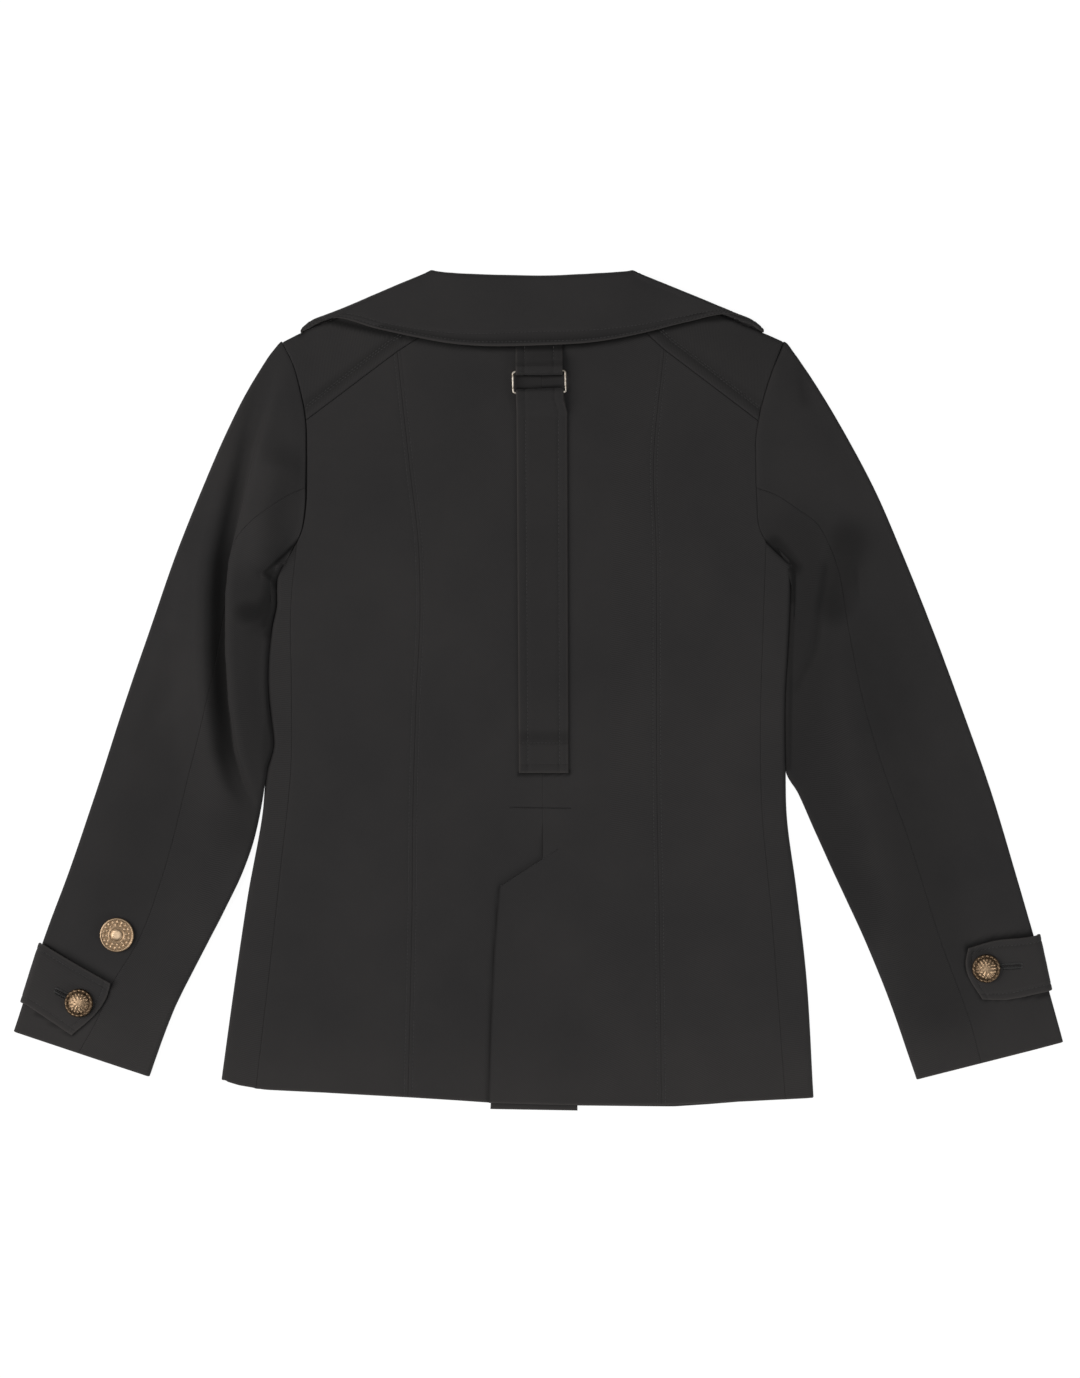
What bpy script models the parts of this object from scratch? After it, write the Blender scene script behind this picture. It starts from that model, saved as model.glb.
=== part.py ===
"""Short tailored jacket with a storm collar, lying flat on its front with its back up.

+Z is up off the surface, +Y runs towards the collar and +X is the wearer's right. All tables
are in millimetres. The origin is the middle of the jacket's bounding box, on the surface.
"""
import math

import bpy
import numpy as np

for leftover in list(bpy.data.objects):
    bpy.data.objects.remove(leftover, do_unlink=True)

MM = 0.001

# Cloth and the heights at which its layers lie, each to the middle of the wall.
CLOTH = 1.6            # one fused layer of suiting
DOUBLE = 2.0           # collar and strap, two layers pressed together
SEAM_GAP = 0.3         # between two pieces at a seam
FOLDED_SEAM_GAP = 0.34  # each side of a seam that runs over the sleeve's deep fold
LAYER_GAP = 0.25       # between two pieces that lie on each other
FLOOR_LAYER = 0.5 * CLOTH
BACK_LAYER = 6.35
STEP_UP = CLOTH + LAYER_GAP
CENTRE = 2.0           # the jacket's middle, across
BREAK_Y = 70.0         # where the lapels begin to turn back
CROSSING_Y = 122.0     # above here the two lapels lie clear of each other
VENT_TOP_Y = -134.5
VENT_CORNER_Y = -157.2
SLEEVE_CLEARANCE = 1.0  # from a sleeve's inner fold to the side of the body

# How many facets a seam is cut into between its marks, top to bottom.
ROWS_ABOVE_ARMPIT = 6
ROWS_BELOW_ARMPIT = (5, 1, 1, 3)
FOLD_FACETS = 4
SLEEVE_ROWS_BELOW = 7   # from where a sleeve parts from the body down to its cuff

# Edges and seams of each half, as x, y down the piece. The photographed halves differ a little.
SHAPE = {
    "left": {
        "princess": [(-113.2, 270.4), (-102.8, 175.6), (-96.4, 119.6), (-94.8, 71.6),
                     (-98, -8.4), (-100.4, -88.4), (-101.2, -168.4), (-104.4, -323.0)],
        "side_seam": [(-193.4, 118), (-198, 70), (-197.6, 0), (-198, -60), (-206, -140),
                      (-226, -317.4)],
        "front_seam": [(-175, 142), (-172, 60), (-170, -40), (-176, -160), (-188, -320)],
        "body_edge": [(-206.0, 101.5), (-206.5, 66.8), (-213.2, 44.4), (-215.6, 20), (-213.2, -15.6),
                      (-210.8, -43.6), (-216.4, -62.8), (-220.4, -97.2), (-231.6, -160.4),
                      (-241.2, -224.4), (-253.2, -310.8)],
        "armhole": [(-204.2, 276.2), (-196.8, 261.2), (-190.8, 240.4), (-186, 215.6),
                    (-185.2, 193.2), (-185.2, 172.4), (-186, 146), (-190, 125.2), (-193.4, 118)],
        "armpit": [(-203.2, 111.0), (-209.0, 105.0), (-212.4, 95)],
        "front_armhole": [(-204.2, 276.2), (-191, 254), (-181, 228), (-175, 200), (-173, 170),
                          (-175, 142), (-182, 127), (-193.4, 118)],
        "yoke_seam": [(-60, 305), (-113.2, 270.4), (-186, 215.6)],
        "front_yoke_seam": [(-78, 290), (-184, 236)],
        "shoulder": [(-98.5, 324.0), (-140, 307), (-182, 289.3), (-194, 284.2), (-205, 278.4)],
        "sleeve_outer": [(-206.5, 277.5), (-212.4, 271.6), (-223.6, 255.6), (-233.2, 239.6),
                         (-249.2, 207.6), (-270, 159.6), (-289.2, 111.6), (-311.6, 47.6),
                         (-333.2, -16.4), (-353.2, -80.4), (-374.8, -144.4),
                         (-392.4, -192.4), (-417.6, -271)],
        "sleeve_inner": [(-230, -128.4), (-236.4, -144.4), (-251.6, -176.4), (-276.4, -223.6),
                         (-294, -254), (-311.2, -306.6)],
        "sleeve_seam_end": 0.47,
        "tab_fold": (-203.6, -251.0),
        "tab_top": [(-378, -213.6), (-342, -234)],
        "tab_end": [(-342, -234), (-345.2, -245.2), (-352.4, -256.4), (-373.2, -275.6)],
        "tab_bottom": [(-400.4, -257.2), (-373.2, -275.6)],
        "cuff_button": (-367.2, -249.5),
        "roll": [(CENTRE - 0, 331.0), (-34, 331.6), (-58, 332.8), (-74, 334.0), (-81, 334.7),
                 (-85.5, 335.0), (-88.0, 335.0)],
        "fall_edge": [(CENTRE, 274.3), (-38.8, 273.5), (-70, 275.4), (-97.2, 280.4),
                      (-127.6, 286.4), (-156, 292.8), (-176, 297)],
        "front_roll": [(-86.5, 330.0), (-81, 312), (-74, 293), (-66, 272)],
        "front_fall_edge": [(-190, 288), (-186, 262), (-170, 230), (-152, 200)],
        "lapel_edge": [(-62, 272), (-100, 240), (-112, 184), (-74, 132), (12, 72)],
        "break_edge": 20.0,
    },
    "right": {
        "princess": [(100, 272.2), (91.5, 175.6), (93.6, 119.6), (94, 71.6), (94, -8.4),
                     (94.5, -88.4), (96, -168.4), (98, -327.6)],
        "side_seam": [(181.6, 118), (179, 44), (177, -30), (178, -90), (186, -180), (197, -325.6)],
        "front_seam": [(163, 142), (160, 60), (158, -40), (163, -160), (172, -326.5)],
        "body_edge": [(202.2, 101.5), (201.2, 66), (199.6, 33.2), (197.6, 1.2), (196.4, -62.8),
                      (197.2, -96.4), (205.2, -160.4), (212.4, -224.4), (218.4, -324.4)],
        "armhole": [(194.2, 276.2), (187.6, 258.8), (180.4, 236.4), (175.2, 215.2), (173.2, 202),
                    (173.2, 181.2), (174, 152.4), (176.4, 128.4), (181.6, 118)],
        "armpit": [(194.6, 111.2), (205.2, 105.5), (208.6, 95)],
        "front_armhole": [(194.2, 276.2), (181, 254), (171, 228), (164, 200), (161, 170),
                          (163, 142), (170, 127), (181.6, 118)],
        "yoke_seam": [(64, 305), (100, 272.2), (175.2, 215.2)],
        "front_yoke_seam": [(80, 290), (174, 236)],
        "shoulder": [(94.5, 322.6), (130, 307.6), (169, 289.5), (182, 284.4), (195, 278.4)],
        "sleeve_outer": [(196.5, 277.5), (202, 271.6), (214, 255.6), (224.4, 239.6),
                         (243.6, 207.6), (269.2, 159.6), (290, 111.6), (315.6, 47.6),
                         (338.8, -16.4), (361.2, -80.4), (380.4, -144.4), (394.4, -194.8),
                         (417.2, -280.4)],
        "sleeve_inner": [(206, -80.4), (220.4, -112.4), (234.8, -144.4), (257.2, -192.4),
                         (277.2, -240.4), (301.6, -309.6)],
        "sleeve_seam_end": 0.52,
        "tab_fold": (-198.4, -241.0),
        "tab_top": [(393.2, -196.6), (362.8, -200.1), (342.8, -206)],
        "tab_end": [(342.8, -206), (340.6, -218.8), (341.7, -225.2), (354, -246.8)],
        "tab_bottom": [(369.8, -247.3), (354, -246.8)],
        "cuff_button": (356.8, -222.0),
        "roll": [(CENTRE - 0, 331.0), (30, 332.2), (50, 333.4), (63, 334.3), (70, 334.8),
                 (74.5, 335.0), (77.0, 335.0)],
        "fall_edge": [(CENTRE, 274.3), (36, 276.0), (62, 279.6), (86, 284.6), (112, 290.6),
                      (140, 295.6), (163, 298.6)],
        "front_roll": [(77.5, 330.0), (76, 312), (72, 293), (66, 272)],
        "front_fall_edge": [(178.5, 287.5), (176, 262), (162, 230), (150, 200)],
        "lapel_edge": [(62, 272), (102, 240), (114, 184), (78, 132), (-8, 72)],
        "break_edge": -16.0,
    },
}
NECK_SEAM = {"left": [(CENTRE, 298), (-20, 298.8), (-42, 301), (-60, 305)],
             "right": [(CENTRE, 298), (24, 298.8), (46, 301), (64, 305)]}
BACK_HEM = [(-253, -310.8), (-240, -314), (-219, -318), (-173, -320.4), (-118, -322.6),
            (-41, -327.6), (30, -329.2), (108, -327.8), (168, -326.8), (219, -324.6)]
FRONT_HEM = [(-253, -310.8), (-219, -317.4), (-173, -321.4), (-103, -325), (-41, -328.6),
             (31, -331.4), (108, -330.8), (136, -329.8), (168, -327.4), (219, -324.8)]
VENT_EDGE = [(-31.6, VENT_CORNER_Y), (-35.6, -208.4), (-38.3, -269.2), (-40.2, -328.4)]
VENT_UNDERLAP = [(-29, -172), (29, -172), (30.6, -335), (-38.6, -333.6)]
CENTRE_SEAM = [(CENTRE, 298), (2.4, 108), (3, VENT_TOP_Y), (3, -328.6)]
ARMPIT_ROW_Y = 108.4   # the back pieces' rows are level with the armpit's from here down
FRONT_SEAM_TOP_Y = 142.0  # where the front's outer seam meets its armhole
SHOULDER_POINT_Y = 276.2
ARMPIT_Y = 118.0
SLEEVE_SEAM_TOP_Y = 162.0  # where the sleeve's back seam meets the armhole

# Where collar, lapels and front buttons lie under the fronts and lift them, down the jacket.
LIFT = {  # y, half width that is lifted in full, height
    "y": [-150, -112, 30, 70, 120, 140, 175, 205, 250, 345],
    "half": [50, 50, 50, 60, 100, 140, 190, 200, 215, 215],
    "height": [0, 1.85, 1.85, 1.85, 1.85, 1.85, 2.25, 2.25, 2.25, 2.25],
}
LIFT_FADE = 60.0

# The deep fold of the left sleeve: its ridge down the sleeve, and how high it stands there.
SLEEVE_FOLD = {  # x, y, height
    "x": [-207.6, -217, -227.6, -241, -249, -250, -247.6, -242.8, -235.6, -222],
    "y": [266.8, 231.6, 191.6, 130.8, 80, 33.2, -9.2, -48.4, -74, -100],
    "height": [0, 3, 6.5, 9, 9.5, 9, 8.5, 6, 3.5, 0],
}
FOLD_REACH = 24.0

# The strap down the middle of the back, and the buckle that joins its two lengths.
STRAP_LAYER = BACK_LAYER + 0.5 * CLOTH + LAYER_GAP + 0.5 * DOUBLE
STRAP_TOP_Y = 296.5
STRAP_END_Y = -66.0
STRAP_UPPER_EDGES = {"y": [240, 300], "left": [-18.7, -18.7], "right": [18.9, 18.9]}
STRAP_LOWER_EDGES = {"y": [-66, 222, 232], "left": [-16.0, -18.0, -18.4],
                     "right": [23.6, 22.6, 19.6]}
BUCKLE_CENTRE = (0.25, 246.15)
BUCKLE_SIZE = (43.9, 18.9)
BUCKLE_WIRE = 1.9
BUCKLE_CORNER = 2.2    # outside
BUCKLE_SECTION_SIDES = 8
WIRE_CLEARANCE = 0.25
LOOP_RADIUS = 0.5 * BUCKLE_WIRE + WIRE_CLEARANCE + 0.5 * DOUBLE
BUCKLE_HEIGHT = STRAP_LAYER + LOOP_RADIUS
LOOP_TAIL = 11.4       # how far each strap runs back under itself
RAMP = (8.1, 18.4)     # from the bar, where a strap has come up to it and where it starts to

# The tabs that wrap round the cuffs, and the buttons.
TAB_LAYER = BACK_LAYER + CLOTH + LAYER_GAP
TAB_WRAP = math.radians(120)
BUTTON_RADIUS = 11.4
BUTTON_HEIGHT = 5.6
FLAT_BUTTON_CENTRE = (-337.0, -195.3)
FLAT_BUTTON_RADIUS = 13.8
FLAT_BUTTON_HEIGHT = 3.6
FRONT_BUTTON_HEIGHT = 1.6
FRONT_BUTTON_Y = (45.0, -25.0, -95.0)
BUTTON_SIDES = 24

CLOTH_LOOK = ((0.026, 0.025, 0.026, 1), 0.9, 0.0)
BRASS_LOOK = ((0.42, 0.29, 0.15, 1), 0.35, 1.0)
BUCKLE_LOOK = ((0.62, 0.55, 0.46, 1), 0.25, 1.0)


# ---------------------------------------------------------------- curves and fields

def smooth_run(points, steps=16):
    """A dense smooth line through the points of a table."""
    knots = np.array(points, dtype=float)
    length = np.concatenate([[0], np.cumsum(np.linalg.norm(np.diff(knots, axis=0), axis=1))])
    if len(knots) == 2:
        slope = np.array([(knots[1] - knots[0]) / length[1]] * 2)
    else:
        slope = np.gradient(knots, length, axis=0)
    dense = []
    for i in range(len(knots) - 1):
        span = length[i + 1] - length[i]
        for s in np.linspace(0, 1, steps, endpoint=False):
            dense.append((2 * s**3 - 3 * s**2 + 1) * knots[i] + (3 * s**2 - 2 * s**3) * knots[i + 1]
                         + span * ((s**3 - 2 * s**2 + s) * slope[i] + (s**3 - s**2) * slope[i + 1]))
    dense.append(knots[-1])
    return np.array(dense)


def evenly(line, count):
    """count facets of equal length along a dense line."""
    length = np.concatenate([[0], np.cumsum(np.linalg.norm(np.diff(line, axis=0), axis=1))])
    places = np.linspace(0, length[-1], count + 1)
    return np.stack([np.interp(places, length, line[:, k]) for k in range(line.shape[1])], axis=1)


def cut_by_y(line, marks, counts):
    """A line that runs down the jacket, cut at the heights in marks, each stretch into facets."""
    order = np.argsort(line[:, 1])
    stretches = []
    for top, bottom, count in zip(marks[:-1], marks[1:], counts):
        inside = line[(line[:, 1] < top) & (line[:, 1] > bottom)]
        ends = [[np.interp(y, line[order, 1], line[order, 0]), y] for y in (top, bottom)]
        stretch = evenly(np.vstack([ends[:1], inside, ends[1:]]), count)
        stretches.append(stretch if not stretches else stretch[1:])
    return np.vstack(stretches)


def moved_in(line, distance):
    """A line moved to its right-hand side, seen along it."""
    along = np.gradient(line, axis=0)
    along /= np.linalg.norm(along, axis=1)[:, None]
    return line + distance * np.stack([along[:, 1], -along[:, 0]], axis=1)


def patch(top, bottom, left, right, fade=1):
    """The grid between four edges: rows run from top to bottom, columns from left to right.

    The top edge's curve dies out down the grid, the sooner the higher fade is.
    """
    u = np.linspace(0, 1, len(top))[None, :, None]
    v = np.linspace(0, 1, len(left))[:, None, None]
    across = (1 - u) * left[:, None] + u * right[:, None]
    top_curve = top[None] - (1 - u) * top[0] - u * top[-1]
    bottom_curve = bottom[None] - (1 - u) * bottom[0] - u * bottom[-1]
    return across + (1 - v) ** fade * top_curve + v * bottom_curve


def pulled_in(grid, sides, gap=0.5 * SEAM_GAP):
    """The grid with the named sides drawn back by half a seam's gap."""
    grid = grid.copy()
    edges = {"top": (np.s_[0], np.s_[1]), "bottom": (np.s_[-1], np.s_[-2]),
             "left": (np.s_[:, 0], np.s_[:, 1]), "right": (np.s_[:, -1], np.s_[:, -2])}
    for side in sides:
        edge, inner = edges[side]
        inward = grid[inner] - grid[edge]
        grid[edge] += gap * inward / np.linalg.norm(inward, axis=-1)[..., None]
    return grid


def ease(value):
    value = np.clip(value, 0, 1)
    return value * value * (3 - 2 * value)


def under_layer(x, y):
    """Height of the cloth that faces the surface."""
    half = np.interp(y, LIFT["y"], LIFT["half"])
    height = np.interp(y, LIFT["y"], LIFT["height"])
    return FLOOR_LAYER + height * ease((half + LIFT_FADE - np.abs(x - CENTRE)) / LIFT_FADE)


def sleeve_fold(x, y):
    """How far the left sleeve's deep fold raises the cloth."""
    ridge_x = np.interp(-y, [-value for value in SLEEVE_FOLD["y"]], SLEEVE_FOLD["x"])
    height = np.interp(-y, [-value for value in SLEEVE_FOLD["y"]], SLEEVE_FOLD["height"],
                       left=0, right=0)
    across = (x - ridge_x) / FOLD_REACH
    return height * np.where(across < 0, ease(1 + 1.6 * across), ease(1 - 0.7 * across))


def raised(grid, height):
    """A flat grid of x, y with its height added, a number or a function of x and y."""
    z = height(grid[..., 0], grid[..., 1]) if callable(height) else np.full(grid.shape[:2], height)
    return np.dstack([grid, z])


# ---------------------------------------------------------------- building pieces

def finish(name, verts, faces, look):
    """One closed object with its own material, its faces pointing out."""
    verts = np.array(verts) * MM
    volume = 0.0
    for face in faces:
        for a, b in zip(face[1:-1], face[2:]):
            volume += np.dot(verts[face[0]], np.cross(verts[a], verts[b]))
    if volume < 0:
        faces = [face[::-1] for face in faces]
    mesh = bpy.data.meshes.new(name)
    mesh.from_pydata(verts.tolist(), [], faces)
    piece = bpy.data.objects.new(name, mesh)
    bpy.context.scene.collection.objects.link(piece)
    colour, roughness, metallic = look
    material = bpy.data.materials.new(name)
    material.use_nodes = True
    shader = material.node_tree.nodes["Principled BSDF"]
    shader.inputs["Base Color"].default_value = colour
    shader.inputs["Roughness"].default_value = roughness
    shader.inputs["Metallic"].default_value = metallic
    mesh.materials.append(material)
    mesh.shade_smooth()
    mesh.set_sharp_from_angle(angle=math.radians(40))
    return piece


def cloth(name, grid, thickness=CLOTH):
    """A wall of even thickness about a grid of points."""
    down = np.gradient(grid, axis=0)
    across = np.gradient(grid, axis=1)
    normal = np.cross(across, down)
    normal /= np.linalg.norm(normal, axis=2)[..., None]
    rows, columns = grid.shape[:2]
    upper = (grid + 0.5 * thickness * normal).reshape(-1, 3)
    lower = (grid - 0.5 * thickness * normal).reshape(-1, 3)
    count = rows * columns
    faces = []
    for r in range(rows - 1):
        for c in range(columns - 1):
            a = r * columns + c
            quad = (a, a + 1, a + columns + 1, a + columns)
            faces.append(quad)
            faces.append(tuple(count + i for i in reversed(quad)))
    rim = ([c for c in range(columns - 1)]
           + [r * columns + columns - 1 for r in range(rows - 1)]
           + [(rows - 1) * columns + c for c in range(columns - 1, 0, -1)]
           + [r * columns for r in range(rows - 1, 0, -1)])
    for a, b in zip(rim, rim[1:] + rim[:1]):
        faces.append((b, a, count + a, count + b))
    return finish(name, np.vstack([upper, lower]), faces, CLOTH_LOOK)


def fold_round(axis_point, outward, top, bottom, facets=FOLD_FACETS):
    """Points of a half-round fold at one station, after its top point and before its bottom one."""
    radius = 0.5 * (top - bottom)
    middle = 0.5 * (top + bottom)
    points = []
    for k in range(1, facets):
        angle = math.pi * k / facets
        reach = abs(radius) * math.sin(angle)
        points.append((axis_point[0] + outward[0] * reach, axis_point[1] + outward[1] * reach,
                       middle + radius * math.cos(angle)))
    return points


def turned(name, centre, profile, look, sides=BUTTON_SIDES):
    """A piece turned about an upright axis from a closed profile of radius, height."""
    verts = []
    rings = []
    for radius, height in profile:
        if radius == 0:
            rings.append([len(verts)])
            verts.append((centre[0], centre[1], height))
            continue
        rings.append(list(range(len(verts), len(verts) + sides)))
        for k in range(sides):
            angle = 2 * math.pi * k / sides
            verts.append((centre[0] + radius * math.cos(angle),
                          centre[1] + radius * math.sin(angle), height))
    faces = []
    for one, two in zip(rings[:-1], rings[1:]):
        for k in range(sides):
            j = (k + 1) % sides
            if len(one) == 1:
                faces.append((one[0], two[j], two[k]))
            elif len(two) == 1:
                faces.append((one[k], one[j], two[0]))
            else:
                faces.append((one[k], one[j], two[j], two[k]))
    return finish(name, verts, faces, look)


# ---------------------------------------------------------------- back of the body

def hem_height(x, hem):
    return np.interp(x, [p[0] for p in hem], [p[1] for p in hem])


def lower_marks(top, bottom):
    return [top, -100.0, VENT_TOP_Y, VENT_CORNER_Y, bottom]


def back_seam(points, top, split):
    """A seam of the back, cut into the rows that all back pieces share."""
    line = smooth_run(points)
    return cut_by_y(line, [top] + lower_marks(split, points[-1][1]),
                    (ROWS_ABOVE_ARMPIT,) + ROWS_BELOW_ARMPIT)


def hem_line(start, end, count, hem):
    x = np.linspace(start[0], end[0], count + 1)
    line = np.stack([x, hem_height(x, hem)], axis=1)
    line[0], line[-1] = start, end
    return line


def armhole_points(shape):
    """The back armhole from the shoulder to the armpit, cut where other seams meet it."""
    marks = [SHOULDER_POINT_Y, shape["yoke_seam"][-1][1], SLEEVE_SEAM_TOP_Y, ARMPIT_Y]
    return cut_by_y(smooth_run(shape["armhole"]), marks, (3, 3, 3))


def front_armhole_points(shape):
    marks = [SHOULDER_POINT_Y, shape["front_yoke_seam"][-1][1], FRONT_SEAM_TOP_Y, ARMPIT_Y]
    return cut_by_y(smooth_run(shape["front_armhole"]), marks, (2, 4, 2))


def yoke_seam_points(shape):
    inner, princess, outer = shape["yoke_seam"]
    return np.vstack([evenly(np.array([inner, princess]), 2),
                      evenly(np.array([princess, outer]), 4)[1:]])


def vent_lap(x, y):
    """How far the lapped side of the vent lies above the back."""
    return STEP_UP * ease((48 - x) / 42) * ease((-104 - y) / 24)


def build_back(side, shape):
    armhole = armhole_points(shape)[3:]
    below = cut_by_y(smooth_run(shape["side_seam"]),
                     lower_marks(armhole[-1][1], shape["side_seam"][-1][1]), ROWS_BELOW_ARMPIT)
    outer = np.vstack([armhole, below[1:]])
    princess = back_seam(shape["princess"], shape["princess"][0][1], ARMPIT_ROW_Y)
    yoke = yoke_seam_points(shape)
    hem = hem_line(outer[-1], princess[-1], 4, BACK_HEM)
    side_grid = patch(yoke[2:][::-1], hem, outer, princess)
    if side == "right":
        side_grid = side_grid[:, ::-1]
    cloth("back_side_" + side, raised(pulled_in(side_grid, ("top", "left", "right")), BACK_LAYER))

    neck = evenly(smooth_run(NECK_SEAM[side]), 3)
    top = np.vstack([yoke[:3][::-1], neck[::-1][1:]])
    centre = back_seam(CENTRE_SEAM, CENTRE_SEAM[0][1], ARMPIT_ROW_Y)
    if side == "right":
        above_vent = centre[centre[:, 1] > VENT_TOP_Y - 0.01]
        vent = cut_by_y(smooth_run(VENT_EDGE), [VENT_CORNER_Y, VENT_EDGE[-1][1]],
                        ROWS_BELOW_ARMPIT[-1:])
        centre = np.vstack([above_vent, vent])
    hem = hem_line(princess[-1], centre[-1], 5, BACK_HEM)
    grid = pulled_in(patch(top, hem, princess, centre), ("top", "left", "right"))
    if side == "right":
        cloth("back_centre_right",
              raised(grid, lambda x, y: BACK_LAYER + vent_lap(x, y)))
    else:
        cloth("back_centre_left", raised(grid, BACK_LAYER))


def build_vent_underlap():
    """The facing behind the vent, a little longer than the hem."""
    corners = np.array(VENT_UNDERLAP, dtype=float)
    top, bottom = corners[:2], corners[:1:-1]
    grid = patch(evenly(top, 2), evenly(bottom, 2), evenly(np.array([top[0], bottom[0]]), 4),
                 evenly(np.array([top[1], bottom[1]]), 4))
    cloth("vent_underlap", raised(grid, BACK_LAYER - STEP_UP))


# ---------------------------------------------------------------- sides, fronts and yokes

def body_fold(shape):
    """The side fold's axis, level with the side seam's rows, and the way it bulges."""
    edge = smooth_run(shape["body_edge"])
    line = cut_by_y(edge, lower_marks(shape["body_edge"][0][1], shape["body_edge"][-1][1]),
                    ROWS_BELOW_ARMPIT)
    outward = np.sign(line[0][0])
    radius = 0.5 * (BACK_LAYER - FLOOR_LAYER) + 0.5 * CLOTH
    return line - np.array([outward * radius, 0]), np.array([outward, 0.0])


def build_side_panel(side, shape):
    """The panel under the arm, from the side seam on the back round to the front seam."""
    axis, outward = body_fold(shape)
    seam = cut_by_y(smooth_run(shape["side_seam"]),
                    lower_marks(shape["side_seam"][0][1], shape["side_seam"][-1][1]),
                    ROWS_BELOW_ARMPIT)
    front = cut_by_y(smooth_run(shape["front_seam"]),
                     lower_marks(FRONT_SEAM_TOP_Y, shape["front_seam"][-1][1]), ROWS_BELOW_ARMPIT)
    upper_top = np.array([seam[0], 0.5 * (seam[0] + axis[0]), axis[0]])
    lower_top = np.vstack([axis[:1], front_armhole_points(shape)[6:][::-1]])
    back_strip = pulled_in(patch(upper_top, hem_line(seam[-1], axis[-1], 2, BACK_HEM), seam, axis),
                           ("left",))
    front_part = pulled_in(patch(lower_top, hem_line(axis[-1], front[-1], 3, FRONT_HEM),
                                 axis, front), ("right",))
    upper = raised(back_strip, BACK_LAYER)
    lower = raised(front_part, under_layer)
    rows = []
    for r in range(len(axis)):
        fold = fold_round(axis[r], outward, upper[r, -1, 2], lower[r, 0, 2])
        rows.append(np.vstack([upper[r], fold, lower[r]]))
    grid = np.array(rows)
    grid[0, :, 1] -= 0.5 * SEAM_GAP
    cloth("side_panel_" + side, grid)


def roll_line(shape):
    """The lapel's turning edge, from the collar down to the break of the front edge."""
    top = np.array(shape["front_roll"][-1], dtype=float)
    return np.array([top, (shape["break_edge"], BREAK_Y)])


def build_front(side, shape):
    armhole = front_armhole_points(shape)[2:7]
    seam = cut_by_y(smooth_run(shape["front_seam"]),
                    lower_marks(FRONT_SEAM_TOP_Y, shape["front_seam"][-1][1]), ROWS_BELOW_ARMPIT)
    outer = np.vstack([armhole, seam[1:]])
    towards_side = np.sign(outer[0][0])
    inset = np.array([towards_side * (0.5 * STEP_UP + 0.5 * CLOTH + 2.5 * SEAM_GAP), 0.0])
    rolled = evenly(roll_line(shape) + inset, 5)
    rolled[0] += (rolled[1] - rolled[0]) * 0.1
    hem_y = hem_height(shape["break_edge"], FRONT_HEM)
    edge = np.array([rolled[-1], (shape["break_edge"], BREAK_Y - 12),
                     (shape["break_edge"], hem_y)])
    lower = cut_by_y(edge, [BREAK_Y, -100.0, VENT_TOP_Y, VENT_CORNER_Y, hem_y], (4, 1, 1, 3))
    inner = np.vstack([rolled, lower[1:]])
    neck_end = np.array(shape["front_yoke_seam"][0], dtype=float)
    yoke = evenly(np.array([neck_end, outer[0]]), 6)
    top = np.vstack([[inner[0]], yoke])
    hem = hem_line(inner[-1], outer[-1], 7, FRONT_HEM)
    grid = pulled_in(patch(top, hem, inner, outer), ("top", "right"))

    def height(x, y):
        level = under_layer(x, y)
        if side == "left":
            level = level + STEP_UP * ease((x + 66) / 40) * ease((165 - y) / 30)
        return level

    cloth("front_" + side, raised(grid, height))


def build_lapel(side, shape):
    """The turned-back top of the front edge, lying against the surface."""
    first, last = roll_line(shape)
    edge = np.array(shape["lapel_edge"], dtype=float)[::-1]
    towards_side = np.sign(shape["lapel_edge"][1][0])
    lowest = BREAK_Y + 10 if side == "right" else CROSSING_Y + 2
    heights = [y for y in (264.0, 240.0, 212.0, 184.0, 158.0, 132.0, 106.0) if y > lowest]
    heights.append(lowest)
    rows = []
    for y in heights:
        turn = np.interp(y, [last[1], first[1]], [last[0], first[0]])
        outer = np.interp(y, edge[:, 1], edge[:, 0])
        level = float(under_layer(turn, y))
        radius = 0.5 * (level - FLOOR_LAYER)
        axis = turn + towards_side * (radius + 0.5 * CLOTH)
        flat = [(x, y, FLOOR_LAYER) for x in np.linspace(outer, axis, 5)]
        fold = fold_round((axis, y), (-towards_side, 0), FLOOR_LAYER, level)
        rows.append(flat + fold + [(axis, y, level)])
    cloth("lapel_" + side, np.array(rows))


def yoke_neck(side, shape):
    """The yoke's short edge at the neck, from its seam on the back up to the shoulder."""
    start = np.array(shape["yoke_seam"][0], dtype=float)
    return evenly(np.array([start, shoulder_axis(shape)[0]]), 3)


def shoulder_axis(shape):
    radius = 0.5 * (BACK_LAYER - float(under_layer(CENTRE, 300.0))) + 0.5 * CLOTH
    line = smooth_run(shape["shoulder"])
    inward = radius if line[-1][0] > 0 else -radius
    return evenly(moved_in(line, inward), 6)


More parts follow.
